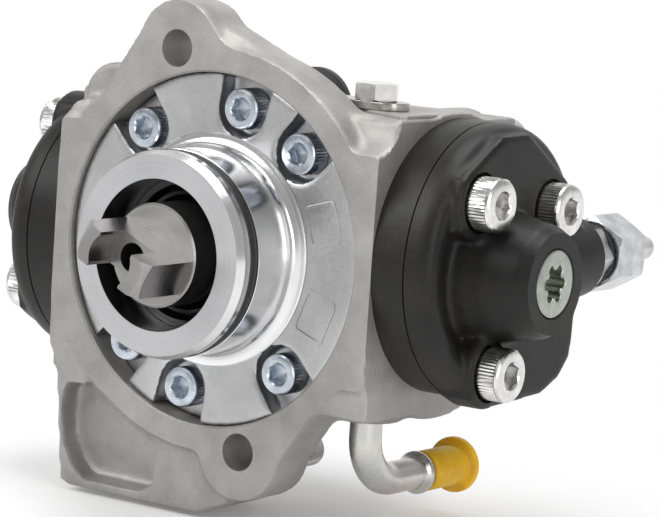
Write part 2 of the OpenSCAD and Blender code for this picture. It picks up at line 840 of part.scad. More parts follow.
// Plunger with its mushroom foot, for the right side
module plunger(side) {
  color([0.6, 0.6, 0.62])
    on_side(side)
      turned_x([[0, foot_x], [foot_r - foot_edge, foot_x], [foot_r, foot_x + foot_edge],
                [foot_r, foot_x + foot_t],
                [plunger_r, foot_x + foot_t], [plunger_r, foot_x + foot_t + plunger_len - 0.5],
                [plunger_r - 0.5, foot_x + foot_t + plunger_len],
                [0, foot_x + foot_t + plunger_len]], plunger_y);
}

module plunger_seat(side) {
  color([0.45, 0.45, 0.47])
    on_side(side)
      difference() {
        cyl_x(seat_disc_r, foot_x + foot_t, foot_x + foot_t + seat_disc_t, plunger_y);
        cyl_x(plunger_r + slip, 0, 60, plunger_y);
      }
}

module plunger_spring(side) {
  wire = 0.95;
  x0 = foot_x + foot_t + seat_disc_t + slip;
  color([0.5, 0.5, 0.52])
    on_side(side)
      translate([x0, plunger_y, 0])
        rotate([0, 90, 0])
          coil(seat_disc_r - 2.3, wire, seat_x - spigot_len - x0 - slip, 4);
}

// Steel pumping head with the plunger barrel, for the right side
module head_outline() {
  polygon([[-20, 20], [6, 34], [25, 22], [33, 14], [34.5, 0], [32.5, -22], [28, -27], [20, -30.4],
           [9, -30.6], [-14, -22], [-23, -4]]);
}

module cylinder_head(side) {
  foot_y = plunger_y + head_foot_dy;
  boss_top = seat_x + head_boss_h;
  color([0.16, 0.15, 0.15])
    on_side(side)
      difference() {
        union() {
          turned_x([[0, seat_x], [head_foot_r - 0.4, seat_x], [head_foot_r, seat_x + 0.4],
                    [head_foot_r, seat_x + head_foot_t], [head_foot_r - 0.5, seat_x + head_foot_t + 0.4],
                    [head_foot_r - 0.5, seat_x + 12.5], [head_foot_r - 2.6, seat_x + 15.6],
                    [head_foot_r - 6, seat_x + 16.6], [0, seat_x + 16.6]],
                   foot_y, head_foot_dz, 128);
          slab_x(seat_x + 4, seat_x + head_block_h)
            translate([plunger_y, 0])
              head_outline();
          turned_x([[0, seat_x], [16.6, seat_x + 16], [15.6, seat_x + 20], [14, seat_x + 27],
                    [head_boss_r + 1.3, boss_top - 1.6], [head_boss_r, boss_top], [0, boss_top]],
                   plunger_y, 0, 96);
          cyl_y(outlet_boss_r, plunger_y + 10, outlet_y, outlet_x, outlet_z, 64);
          turned_x([[0, seat_x - spigot_len], [spigot_r - 0.5, seat_x - spigot_len],
                    [spigot_r, seat_x - spigot_len + 0.5], [spigot_r, seat_x - 4.2],
                    [spigot_r - 1.8, seat_x - 4.2], [spigot_r - 1.8, seat_x - 2.2],
                    [spigot_r, seat_x - 2.2], [spigot_r, seat_x + cut], [0, seat_x + cut]],
                   plunger_y);
          cyl_x(barrel_r, seat_x - barrel_len, seat_x + cut, plunger_y);
        }
        at_head_screws() {
          cyl_x(m8_hole_r, seat_x - cut, seat_x + 40, n = 32);
          cyl_x(m8_head_r + 0.8, seat_x + head_screw_seat_h, seat_x + 40);
        }
        cyl_x(barrel_bore_r, seat_x - barrel_len - cut, seat_x + chamber_h, plunger_y, n = 64);
        cyl_x(3, seat_x + chamber_h - cut, seat_x + suction_h0 + cut, plunger_y, n = 32);
        cyl_x(suction_r, seat_x + suction_h0, seat_x + plug_h0 + cut, plunger_y);
        cyl_x(head_plug_r + thread_gap, seat_x + plug_h0, boss_top + cut, plunger_y);
        cyl_y(delivery_hole_r, plunger_y + 2, plunger_y + ball_seat_dy + cut, outlet_x, outlet_z, 24);
        turned_y([[0, plunger_y + ball_seat_dy], [delivery_hole_r, plunger_y + ball_seat_dy],
                  [ball_bore_r, plunger_y + ball_dy + 0.4],
                  [ball_bore_r, plunger_y + outlet_thread_dy + cut],
                  [0, plunger_y + outlet_thread_dy + cut]], outlet_x, outlet_z, 32);
        cyl_y(outlet_thread_r + thread_gap, plunger_y + outlet_thread_dy, outlet_y + cut,
              outlet_x, outlet_z);
      }
}

module head_seal(side) {
  section = 0.88;
  color([0.05, 0.05, 0.05])
    on_side(side)
      translate([seat_x - 3.2, plunger_y, 0])
        rotate([0, 90, 0])
          rotate_extrude($fn = 64)
            translate([spigot_r - 1.8 + slip + section, 0])
              circle(r = section, $fn = 20);
}

module head_screws(side) {
  color([0.78, 0.79, 0.8])
    on_side(side)
      at_head_screws()
        translate([seat_x + head_screw_seat_h, 0, 0])
          rotate([0, 90, 0])
            socket_screw(m8_r, head_screw_len, m8_head_r, m8_head_h, m8_socket);
}

// Screw plug over the suction valve, with a six-lobe recess
module head_plug(side) {
  lobe_r = 1.25;
  depth = 4.5;
  end = seat_x + head_boss_h;
  color([0.62, 0.66, 0.6])
    on_side(side)
      difference() {
        turned_x([[0, seat_x + plug_h0 + slip], [head_plug_r, seat_x + plug_h0 + slip],
                  [head_plug_r, end - 0.5], [head_plug_r - 0.5, end], [0, end]], plunger_y);
        cyl_x(3.3, end - depth, end + cut, plunger_y, n = 32);
        for (k = [0:5])
          translate([0, plunger_y, 0])
            rotate([60 * k, 0, 0])
              cyl_x(lobe_r, end - depth, end + cut, 3.5, n = 20);
      }
}

module suction_seat(side) {
  color([0.5, 0.5, 0.52])
    on_side(side)
      difference() {
        cyl_x(suction_r - slip, seat_x + suction_h0, seat_x + suction_h1, plunger_y);
        cyl_x(suction_disc_r + 0.7, seat_x + suction_h0 - cut,
              seat_x + suction_h0 + suction_pocket, plunger_y);
        cyl_x(suction_stem_r + 0.04, seat_x + suction_h0, seat_x + suction_h1 + cut, plunger_y, n = 32);
        for (k = [0:2])
          translate([0, plunger_y, 0])
            rotate([120 * k, 0, 0])
              cyl_x(0.6, seat_x + suction_h0, seat_x + suction_h1 + cut, 2.4, n = 16);
      }
}

module suction_valve(side) {
  disc_x = seat_x + suction_h0 + suction_pocket - suction_disc_t - 0.02;
  ret_x = seat_x + retainer_h;
  color([0.6, 0.6, 0.62])
    on_side(side)
      turned_x([[0, disc_x], [suction_disc_r, disc_x], [suction_disc_r, disc_x + suction_disc_t],
                [suction_stem_r, disc_x + suction_disc_t], [suction_stem_r, ret_x],
                [retainer_r, ret_x], [retainer_r, ret_x + retainer_t], [0, ret_x + retainer_t]],
               plunger_y, n = 32);
}

module suction_spring(side) {
  color([0.5, 0.5, 0.52])
    on_side(side)
      translate([seat_x + suction_h1 + 0.02, plunger_y, 0])
        rotate([0, 90, 0])
          coil(2.1, 0.3, retainer_h - suction_h1 - 0.04, 3);
}

module delivery_ball(side) {
  color([0.7, 0.7, 0.72])
    on_side(side)
      translate([outlet_x, plunger_y + ball_dy + ball_rest_dy, outlet_z])
        sphere(r = ball_r, $fn = 32);
}

module delivery_spring(side) {
  y0 = plunger_y + ball_dy + ball_rest_dy + 2.1;
  color([0.5, 0.5, 0.52])
    on_side(side)
      translate([outlet_x, y0, outlet_z])
        rotate([-90, 0, 0])
          coil(1.95, 0.35, plunger_y + outlet_thread_dy + 2 - y0 - 0.02, 5);
}

// High pressure outlet on the right head: union, dust ring, cap nut and stub
module outlet_union() {
  y0 = plunger_y + outlet_thread_dy + slip;
  hex_end = outlet_y + outlet_hex_len;
  nipple_end = nut_y + cap_nut_len - nut_wall - 4.4;
  color([0.7, 0.73, 0.76])
    difference() {
      union() {
        cyl_y(outlet_thread_r, y0, outlet_y + slip + cut, outlet_x, outlet_z);
        translate([outlet_x, outlet_y + slip, outlet_z])
          rotate([-90, 0, 0])
            cylinder(r = outlet_hex / sqrt(3), h = outlet_hex_len, $fn = 6);
        cyl_y(nipple_r, outlet_y + cut, nipple_end, outlet_x, outlet_z);
      }
      cyl_y(union_bore_r, y0 - cut, nipple_end + cut, outlet_x, outlet_z, 32);
      cyl_y(spring_seat_r, y0 - cut, plunger_y + outlet_thread_dy + 2, outlet_x, outlet_z, 32);
      turned_y([[0, nipple_end - 3], [union_bore_r, nipple_end - 3], [cone_r + 0.1, nipple_end + 0.01],
                [cone_r + 0.1, nipple_end + cut], [0, nipple_end + cut]], outlet_x, outlet_z, 32);
    }
}

module outlet_ring() {
  y0 = outlet_y + outlet_hex_len + slip + 0.05;
  color([0.05, 0.05, 0.05])
    difference() {
      cyl_y(nipple_r + 2, y0, nut_y - 0.05, outlet_x, outlet_z);
      cyl_y(nipple_r + slip, y0 - cut, nut_y + cut, outlet_x, outlet_z);
    }
}

module outlet_cap_nut() {
  corner = cap_nut_hex / sqrt(3);
  end = nut_y + cap_nut_len;
  color([0.75, 0.77, 0.79])
    difference() {
      intersection() {
        translate([outlet_x, nut_y, outlet_z])
          rotate([-90, 0, 0])
            rotate([0, 0, 30])
              cylinder(r = corner, h = cap_nut_len, $fn = 6);
        turned_y([[0, nut_y], [corner - 0.8, nut_y], [corner, nut_y + 0.8], [corner, end - 1.6],
                  [corner - 1.6, end], [0, end]], outlet_x, outlet_z);
      }
      cyl_y(nipple_r + thread_gap, nut_y - cut, end - nut_wall, outlet_x, outlet_z);
      cyl_y(stub_r + 0.15, nut_y, end + cut, outlet_x, outlet_z, 32);
    }
}

module outlet_stub() {
  end = nut_y + cap_nut_len;
  collar_y = end - nut_wall - thread_gap;
  cone_y = collar_y - collar_t;
  color([0.72, 0.72, 0.7])
    turned_y([[0, cone_y - 1.9], [cone_r - 2.1, cone_y - 1.9], [cone_r, cone_y],
              [nipple_r - 0.4, cone_y], [nipple_r - 0.4, collar_y], [stub_r, collar_y],
              [stub_r, end + stub_len - 0.6], [stub_r - 0.6, end + stub_len], [0, end + stub_len]],
             outlet_x, outlet_z, 32);
}

module delivery_plug_left() {
  y0 = plunger_y + outlet_thread_dy + slip;
  socket = 6;
  head_t = 4;
  color([0.62, 0.66, 0.6])
    other_side()
      difference() {
        union() {
          cyl_y(outlet_thread_r, y0, outlet_y + cut, outlet_x, outlet_z);
          cyl_y(outlet_boss_r - 1.2, outlet_y + slip, outlet_y + head_t, outlet_x, outlet_z);
        }
        cyl_y(spring_seat_r, y0 - cut, plunger_y + outlet_thread_dy + 2, outlet_x, outlet_z, 32);
        translate([outlet_x, outlet_y - cut, outlet_z])
          rotate([-90, 0, 0])
            cylinder(r = socket / sqrt(3), h = head_t + 2 * cut, $fn = 6);
      }
}

// Feed pump: inner rotor rolled from the round teeth of the outer rotor
function rotor_point(a, n, ring, tooth, e) =
  let (w = atan2(sin((1 - n) * a), ring / (e * n) - cos((1 - n) * a)))
  [ring * cos(a) - tooth * cos(a + w) - e * cos(n * a),
   ring * sin(a) - tooth * sin(a + w) - e * sin(n * a)];

module feed_inner_rotor() {
  color([0.5, 0.5, 0.52])
    slab_y(feed_front_y + feed_gap, rear_y - feed_plate_t - feed_gap)
      difference() {
        polygon([for (i = [0:feed_steps - 1])
          rotor_point(360 * i / feed_steps, feed_teeth, feed_tooth_pitch_r,
                      feed_tooth_r + feed_tip_gap, feed_offset)]);
        intersection() {
          circle(r = feed_drive_r + slip, $fn = 48);
          square([2 * feed_drive_flat + 2 * slip, 20], center = true);
        }
      }
}

module feed_outer_rotor() {
  color([0.42, 0.42, 0.44])
    translate([-feed_offset, 0, 0])
      difference() {
        cyl_y(feed_rotor_r, feed_front_y + feed_gap, rear_y - feed_plate_t - feed_gap, n = 96);
        difference() {
          cyl_y(feed_root_r, feed_front_y - cut, rear_y, n = 96);
          for (k = [0:feed_teeth - 1])
            rotate([0, -360 * k / feed_teeth, 0])
              cyl_y(feed_tooth_r, feed_front_y - 2 * cut, rear_y + cut, feed_tooth_pitch_r);
        }
      }
}

module feed_plate() {
  color([0.55, 0.55, 0.57])
    difference() {
      cyl_y(feed_rotor_r + plate_pocket - slip, rear_y - feed_plate_t, rear_y - slip, n = 96);
      cyl_y(feed_drive_r + drive_gap, 0, rear_y + cut, n = 32);
      for (s = [-1, 1])
        cyl_y(2.2, 0, rear_y + cut, s * 1.5, s * 10.2, 24);
    }
}

module rear_cover() {
  end = rear_y + rear_cover_t;
  seat = rear_y + rear_flange_t;
  color([0.7, 0.7, 0.68])
    difference() {
      union() {
        turned_y([[0, rear_y], [rear_cover_r, rear_y], [rear_cover_r, seat - rear_cover_chamfer],
                  [rear_cover_r - rear_cover_chamfer, seat], [rear_dome_r, seat],
                  [rear_dome_r - 1.6, end - 1.2], [rear_dome_r - 2.8, end], [0, end]], n = 96);
        cyl_y(inlet_r, rear_y, rear_y + inlet_len, 0, -inlet_drop);
      }
      cyl_y(inlet_bore_r, rear_y + 3, rear_y + inlet_len + cut, 0, -inlet_drop, 32);
      cyl_y(feed_drive_r + drive_gap, rear_y - cut, rear_y + 2, n = 32);
      at_rear_screws()
        cyl_y(rear_screw_r + 0.35, rear_y - cut, seat + cut, n = 24);
    }
}

module rear_cover_screws() {
  color([0.75, 0.77, 0.8])
    at_rear_screws()
      translate([0, rear_y + rear_flange_t, 0])
        rotate([-90, 0, 0])
          socket_screw(rear_screw_r, rear_screw_len, rear_screw_head_r, rear_screw_head_h,
                       rear_screw_socket);
}

// Suction control valve: sleeve in the housing, coil and connector outside
module valve_sleeve() {
  y0 = rear_y - valve_depth;
  y1 = rear_y + valve_flange_t;
  color([0.55, 0.56, 0.58])
    difference() {
      union() {
        cyl_y(valve_sleeve_r, y0, y1, -valve_x, valve_z);
        cyl_y(valve_flange_r, rear_y + slip, y1, -valve_x, valve_z);
        at_valve_ears()
          cyl_y(valve_ear_r, rear_y + slip, y1, n = 32);
        translate([-valve_x, rear_y + slip, valve_z])
          rotate([0, -valve_ear_angle, 0])
            translate([-valve_ear_at, 0, web_inset - valve_ear_r])
              cube([2 * valve_ear_at, valve_flange_t - slip, 2 * (valve_ear_r - web_inset)]);
      }
      cyl_y(valve_bore_r + slip, y0 + 3, y1 + cut, -valve_x, valve_z, 32);
      cyl_y(valve_port_r, y0 - cut, rear_y, -valve_x, valve_z, 24);
      at_valve_ears()
        cyl_y(valve_screw_r + 0.3, rear_y - cut, y1 + cut, n = 24);
      translate([-valve_x, y0 + valve_depth / 2, valve_z - valve_sleeve_r - cut])
        cylinder(r = 1.3, h = 2 * valve_sleeve_r + 2 * cut, $fn = 24);
    }
}

module valve_coil() {
  y0 = rear_y + valve_flange_t + slip;
  neck_r = 8.3;
  hole_r = valve_bore_r + 0.2;
  socket_x = -valve_x - coil_r - 3;
  rim_r = coil_r + coil_rim;
  color([0.07, 0.07, 0.08])
    difference() {
      union() {
        turned_y([[hole_r, y0], [neck_r, y0], [neck_r, y0 + 4.6], [coil_r, y0 + 5.2],
                  [coil_r, y0 + coil_len - 2.9], [rim_r, y0 + coil_len - 2.5],
                  [rim_r, y0 + coil_len - 0.8], [rim_r - 0.8, y0 + coil_len],
                  [hole_r, y0 + coil_len]], -valve_x, valve_z);
        cyl_y(valve_bore_r + 1, y0 + coil_floor, y0 + coil_len, -valve_x, valve_z);
        translate([-valve_x - coil_r - connector_h, valve_plug_y, valve_z - connector_w / 2])
          cube([coil_r + connector_h - valve_bore_r - 1.6, connector_d, connector_w]);
      }
      translate([socket_x - connector_h, valve_plug_y + connector_wall,
                 valve_z - connector_w / 2 + connector_wall])
        cube([connector_h, connector_d - 2 * connector_wall, connector_w - 2 * connector_wall]);
    }
}

module valve_screws() {
  color([0.75, 0.77, 0.8])
    at_valve_ears()
      translate([0, rear_y + valve_flange_t, 0])
        rotate([-90, 0, 0])
          socket_screw(valve_screw_r, valve_screw_len, valve_screw_head_r, valve_screw_head_h,
                       valve_screw_socket);
}

module valve_needle() {
  y0 = rear_y - 12;
  r = valve_bore_r - 0.06;
  waist_r = r - 1.04;
  color([0.6, 0.6, 0.62])
    turned_y([[0, y0 + 1], [r, y0 + 1], [r, y0 + 4], [waist_r, y0 + 4.4], [waist_r, y0 + 8.4],
              [r, y0 + 8.8], [r, valve_needle_end_y], [0, valve_needle_end_y]],
             -valve_x, valve_z, 32);
}

module valve_spring() {
  y0 = valve_needle_end_y + 0.05;
  y1 = rear_y + valve_flange_t + coil_floor - slip;
  color([0.5, 0.5, 0.52])
    translate([-valve_x, y0, valve_z])
      rotate([-90, 0, 0])
        coil(2.4, 0.35, y1 - y0, 5);
}

module temperature_sensor() {
  collar_r = sensor_r + 0.6;
  hex_t = 6;
  end_y = rear_y + sensor_stand;
  color([0.3, 0.3, 0.32])
    difference() {
      union() {
        cyl_y(sensor_r, rear_y - sensor_depth + 2, rear_y + 1, sensor_x, sensor_z, 32);
        translate([sensor_x, rear_y + slip, sensor_z])
          rotate([-90, 0, 0])
            cylinder(r = sensor_hex / sqrt(3), h = hex_t, $fn = 6);
        cyl_y(collar_r, rear_y + hex_t - cut, end_y, sensor_x, sensor_z, 32);
      }
      cyl_y(collar_r - 1.4, end_y - 9, end_y + cut, sensor_x, sensor_z, 32);
    }
}

// Bent return pipe with its hose bead, and the cap pushed over its end
module return_pipe() {
  end_y = bend_y + pipe_leg;
  low_z = -pipe_drop;
  color([0.62, 0.6, 0.58])
    difference() {
      union() {
        translate([pipe_x, pipe_y, bend_z])
          cylinder(r = pipe_r, h = -block_z + pipe_port_depth - bend_z - 1, $fn = 48);
        translate([pipe_x, bend_y, bend_z])
          rotate([0, 90, 0])
            rotate_extrude(angle = -90, $fn = 96)
              translate([pipe_bend_r, 0])
                circle(r = pipe_r, $fn = 48);
        cyl_y(pipe_r, bend_y, end_y, pipe_x, low_z);
        turned_y([[0, bend_y + bead_at - 2.2], [pipe_r, bend_y + bead_at - 2.2],
                  [bead_r - 0.4, bend_y + bead_at - 0.9], [bead_r, bend_y + bead_at - 0.4],
                  [bead_r, bend_y + bead_at + 0.4], [bead_r - 0.4, bend_y + bead_at + 0.9],
                  [pipe_r, bend_y + bead_at + 2.2], [0, bend_y + bead_at + 2.2]], pipe_x, low_z, 48);
      }
      cyl_y(pipe_r - pipe_wall, bend_y, end_y + cut, pipe_x, low_z);
      translate([pipe_x, pipe_y, bend_z])
        cylinder(r = pipe_r - pipe_wall, h = 60, $fn = 48);
      translate([pipe_x, bend_y, bend_z])
        rotate([0, 90, 0])
          rotate_extrude(angle = -90, $fn = 96)
            translate([pipe_bend_r, 0])
              circle(r = pipe_r - pipe_wall, $fn = 48);
    }
}

module pipe_cap() {
  y0 = bend_y + cap_start;
  color([0.95, 0.75, 0.05])
    turned_y([[pipe_r + 0.05, y0], [cap_r, y0], [cap_r, y0 + cap_len - 2.4],
              [cap_flange_r, y0 + cap_len - 2.2], [cap_flange_r, y0 + cap_len], [0, y0 + cap_len],
              [0, y0 + cap_len - 1.4], [pipe_r + 0.05, y0 + cap_len - 1.4]], pipe_x, -pipe_drop, 48);
}

module top_clamp() {
  end_r = clamp_w / 2;
  arm = 16;
  color([0.6, 0.58, 0.55])
    translate([clamp_x, clamp_y, pad_z + slip])
      difference() {
        union() {
          translate([clamp_end - end_r, 0, 0])
            cylinder(r = end_r, h = clamp_t, $fn = 48);
          translate([-arm, slip - end_r, 0])
            cube([arm + clamp_end - end_r, clamp_w - 2 * slip, clamp_t]);
        }
        translate([0, 0, -cut])
          cylinder(r = m6_r + 0.25, h = clamp_t + 2 * cut, $fn = 32);
      }
}

module top_bolt() {
  head_h = 4.2;
  color([0.7, 0.68, 0.66])
    translate([clamp_x, clamp_y, pad_z + clamp_t + slip])
      union() {
        translate([0, 0, -clamp_bolt_len])
          cylinder(r = m6_r, h = clamp_bolt_len + 0.5, $fn = 32);
        cylinder(r = clamp_hex / sqrt(3), h = head_h, $fn = 6);
      }
}

// Feed pressure regulator: piston, spring and knurled plug in the lower block
module regulator_piston() {
  color([0.6, 0.6, 0.62])
    difference() {
      cyl_y(regulator_r, regulator_end_y, regulator_piston_y, regulator_x, -regulator_drop, 32);
      cyl_y(regulator_r - regulator_wall, regulator_end_y + regulator_crown,
            regulator_piston_y + cut, regulator_x, -regulator_drop, 32);
    }
}

module regulator_spring() {
  color([0.5, 0.5, 0.52])
    translate([regulator_x, regulator_spring_y, -regulator_drop])
      rotate([-90, 0, 0])
        coil(regulator_r - 1.6, 0.4, regulator_spring_len, 6);
}

module regulator_plug() {
  color([0.55, 0.55, 0.57])
    union() {
      cyl_y(regulator_r, regulator_seat_y - regulator_shank, regulator_seat_y + cut, regulator_x,
            -regulator_drop, 32);
      cyl_y(regulator_plug_r, regulator_seat_y + slip, regulator_seat_y + regulator_head_h,
            regulator_x, -regulator_drop, 48);
    }
}

pump_housing();
front_cover();
pilot_o_ring();
cover_seal();
front_cover_screws();
shaft_seal();
front_bush();
rear_bush();
drive_shaft();
ring_cam();
ring_cam_bush();
plunger("right");  // plunger_right
plunger("left");  // plunger_left
plunger_seat("right");  // plunger_seat_right
plunger_seat("left");  // plunger_seat_left
plunger_spring("right");  // plunger_spring_right
plunger_spring("left");  // plunger_spring_left
cylinder_head("right");  // cylinder_head_right
cylinder_head("left");  // cylinder_head_left
head_seal("right");  // head_seal_right
head_seal("left");  // head_seal_left
head_screws("right");  // head_screws_right
head_screws("left");  // head_screws_left
head_plug("right");  // head_plug_right
head_plug("left");  // head_plug_left
suction_seat("right");  // suction_seat_right
suction_seat("left");  // suction_seat_left
suction_valve("right");  // suction_valve_right
suction_valve("left");  // suction_valve_left
suction_spring("right");  // suction_spring_right
suction_spring("left");  // suction_spring_left
delivery_ball("right");  // delivery_ball_right
delivery_ball("left");  // delivery_ball_left
delivery_spring("right");  // delivery_spring_right
delivery_spring("left");  // delivery_spring_left
outlet_union();
outlet_ring();
outlet_cap_nut();
outlet_stub();
delivery_plug_left();
feed_inner_rotor();
feed_outer_rotor();
feed_plate();
rear_cover();
rear_cover_screws();
valve_sleeve();
valve_coil();
valve_screws();
valve_needle();
valve_spring();
temperature_sensor();
return_pipe();
pipe_cap();
top_clamp();
top_bolt();
regulator_piston();
regulator_spring();
regulator_plug();
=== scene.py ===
import math
import bpy
import bmesh
from mathutils import Matrix, Vector


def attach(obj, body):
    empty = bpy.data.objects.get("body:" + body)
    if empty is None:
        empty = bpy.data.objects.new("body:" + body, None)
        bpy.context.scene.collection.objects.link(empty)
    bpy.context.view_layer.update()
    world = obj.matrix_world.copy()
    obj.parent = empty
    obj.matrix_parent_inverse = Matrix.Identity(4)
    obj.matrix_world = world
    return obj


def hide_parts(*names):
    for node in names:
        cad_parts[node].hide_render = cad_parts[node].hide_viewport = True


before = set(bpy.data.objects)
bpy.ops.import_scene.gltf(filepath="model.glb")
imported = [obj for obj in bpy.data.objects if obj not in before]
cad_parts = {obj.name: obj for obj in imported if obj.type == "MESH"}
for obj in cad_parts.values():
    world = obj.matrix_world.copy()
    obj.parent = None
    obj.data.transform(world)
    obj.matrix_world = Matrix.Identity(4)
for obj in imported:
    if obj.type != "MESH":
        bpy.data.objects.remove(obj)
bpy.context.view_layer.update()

view_azimuth = math.radians(34.69)
view_elevation = math.radians(7.27)
view_roll = math.radians(-3.9)
view_place = Vector((0.4597, -0.6119, 0.0975))
view_lens = 174.0

back = Vector((math.sin(view_azimuth) * math.cos(view_elevation),
               -math.cos(view_azimuth) * math.cos(view_elevation), math.sin(view_elevation)))
level = Vector((math.cos(view_azimuth), math.sin(view_azimuth), 0))
upright = back.cross(level)
side = math.cos(view_roll) * level - math.sin(view_roll) * upright
top = math.sin(view_roll) * level + math.cos(view_roll) * upright
camera = bpy.data.objects.new("camera", bpy.data.cameras.new("camera"))
camera.data.lens = view_lens
camera.data.sensor_width = 36
camera.data.clip_start = 0.05
camera.data.clip_end = 60
camera.matrix_world = Matrix(((side.x, top.x, back.x, view_place.x),
                              (side.y, top.y, back.y, view_place.y),
                              (side.z, top.z, back.z, view_place.z), (0, 0, 0, 1)))
bpy.context.scene.collection.objects.link(camera)
bpy.context.scene.camera = camera
bpy.context.scene.view_settings.view_transform = "Standard"

# Studio: a plain pale floor below the pump, a soft sky and large soft panels of light.
# The panels stand at the upper left, to the right and behind, as for a catalogue picture.
floor_z = -0.0665
sky_front = 0.38


def soft_panel(name, place, target, size, power):
    lamp = bpy.data.lights.new(name, "AREA")
    lamp.shape = "RECTANGLE"
    lamp.size = size[0]
    lamp.size_y = size[1]
    lamp.energy = power
    obj = bpy.data.objects.new(name, lamp)
    obj.location = place
    obj.rotation_euler = (Vector(target) - Vector(place)).to_track_quat("-Z", "Y").to_euler()
    bpy.context.scene.collection.objects.link(obj)


soft_panel("panel_key", (-0.55, -0.75, 0.75), (0, 0, 0), (0.8, 0.6), 7.6)
soft_panel("panel_right", (1.0, -0.55, 0.30), (0.03, 0.03, 0), (0.5, 0.9), 3.6)
soft_panel("panel_top", (0.1, 0.1, 1.0), (0, 0, 0), (0.8, 0.6), 7.0)


def shader(tree, kind, inputs=None, **settings):
    made = tree.nodes.new(kind)
    for key, value in settings.items():
        setattr(made, key, value)
    for key, value in (inputs or {}).items():
        if isinstance(value, bpy.types.NodeSocket):
            tree.links.new(value, made.inputs[key])
        else:
            made.inputs[key].default_value = value
    return made


world = bpy.data.worlds.new("studio")
world.use_nodes = True
sky_tree = world.node_tree
heading = shader(sky_tree, "ShaderNodeTexCoord").outputs["Generated"]
ahead = (-math.sin(view_azimuth), math.cos(view_azimuth), 0)
depth = shader(sky_tree, "ShaderNodeVectorMath", {0: heading, 1: ahead}, operation="DOT_PRODUCT")
shade = shader(sky_tree, "ShaderNodeMapRange", {"Value": depth.outputs["Value"], "From Min": 0.35,
                                                "From Max": 0.85, "To Min": sky_front,
                                                "To Max": 1.0})
sky_tree.links.new(shade.outputs["Result"], sky_tree.nodes["Background"].inputs["Strength"])
sky_tree.nodes["Background"].inputs["Color"].default_value = (1, 1, 1, 1)
bpy.context.scene.world = world
floor_mesh = bmesh.new()
bmesh.ops.create_grid(floor_mesh, x_segments=1, y_segments=1, size=12,
                      matrix=Matrix.Translation((0, 0, floor_z)))
floor_data = bpy.data.meshes.new("floor")
floor_mesh.to_mesh(floor_data)
floor_mesh.free()
floor = bpy.data.objects.new("floor", floor_data)
bpy.context.scene.collection.objects.link(floor)
floor_mat = bpy.data.materials.new("floor_white")
floor_mat.use_nodes = True
floor_tree = floor_mat.node_tree
paint = floor_tree.nodes["Principled BSDF"]
paint.inputs["Base Color"].default_value = (0.95, 0.95, 0.95, 1)
paint.inputs["Roughness"].default_value = 0.9
where = shader(floor_tree, "ShaderNodeTexCoord").outputs["Object"]
away = shader(floor_tree, "ShaderNodeVectorMath", {0: where}, operation="LENGTH")
fade = shader(floor_tree, "ShaderNodeMapRange",
              {"Value": away.outputs["Value"], "From Min": 0.05, "From Max": 0.20})
rays = shader(floor_tree, "ShaderNodeLightPath").outputs
seen = shader(floor_tree, "ShaderNodeMath", {0: rays["Is Camera Ray"], 1: rays["Is Glossy Ray"]},
              operation="ADD")
seen = shader(floor_tree, "ShaderNodeMath",
              {0: seen.outputs["Value"], 1: rays["Is Transmission Ray"]}, operation="ADD",
              use_clamp=True)
white = shader(floor_tree, "ShaderNodeMath", {0: seen.outputs["Value"], 1: fade.outputs["Result"]},
               operation="MULTIPLY")
glow = shader(floor_tree, "ShaderNodeEmission", {"Color": (1, 1, 1, 1), "Strength": 1.0})
blend = shader(floor_tree, "ShaderNodeMixShader",
               {0: white.outputs["Value"], 1: paint.outputs["BSDF"], 2: glow.outputs["Emission"]})
floor_tree.links.new(blend.outputs["Shader"], floor_tree.nodes["Material Output"].inputs["Surface"])
floor_data.materials.append(floor_mat)


# Pump housing: an aluminium die casting with a blasted grain and softly rounded edges.
# Its mounting face, cover recess, head seats and holes are machined after casting,
# so those edges are crisp.
MM = 0.001


def new_shape():
    return bmesh.new()


def add_block(shape, low, high):
    size = (Vector(high) - Vector(low)) * MM
    middle = (Vector(high) + Vector(low)) / 2 * MM
    place = Matrix.Translation(middle) @ Matrix.Diagonal((size.x, size.y, size.z, 1))
    bmesh.ops.create_cube(shape, size=1, matrix=place)


def add_rod(shape, start, end, radius, end_radius=None, sides=64):
    start, end = Vector(start) * MM, Vector(end) * MM
    aim = (end - start).to_track_quat("Z", "Y").to_matrix().to_4x4()
    place = Matrix.Translation((start + end) / 2) @ aim
    tip = radius if end_radius is None else end_radius
    bmesh.ops.create_cone(shape, cap_ends=True, cap_tris=False, segments=sides, radius1=radius * MM,
                          radius2=tip * MM, depth=(end - start).length, matrix=place)


def add_slab(shape, outline, start, end, axis="Y"):
    spots = {"X": lambda p, at: (at, p[0], p[1]), "Y": lambda p, at: (p[0], at, p[1]),
             "Z": lambda p, at: (p[0], p[1], at)}[axis]
    verts = [shape.verts.new(Vector(spots(p, start)) * MM) for p in outline]
    face = shape.faces.new(verts)
    step = (Vector(spots((0, 0), end)) - Vector(spots((0, 0), start))) * MM
    made = bmesh.ops.extrude_face_region(shape, geom=[face])
    moved = [g for g in made["geom"] if isinstance(g, bmesh.types.BMVert)]
    bmesh.ops.translate(shape, verts=moved, vec=step)
    bmesh.ops.recalc_face_normals(shape, faces=shape.faces)


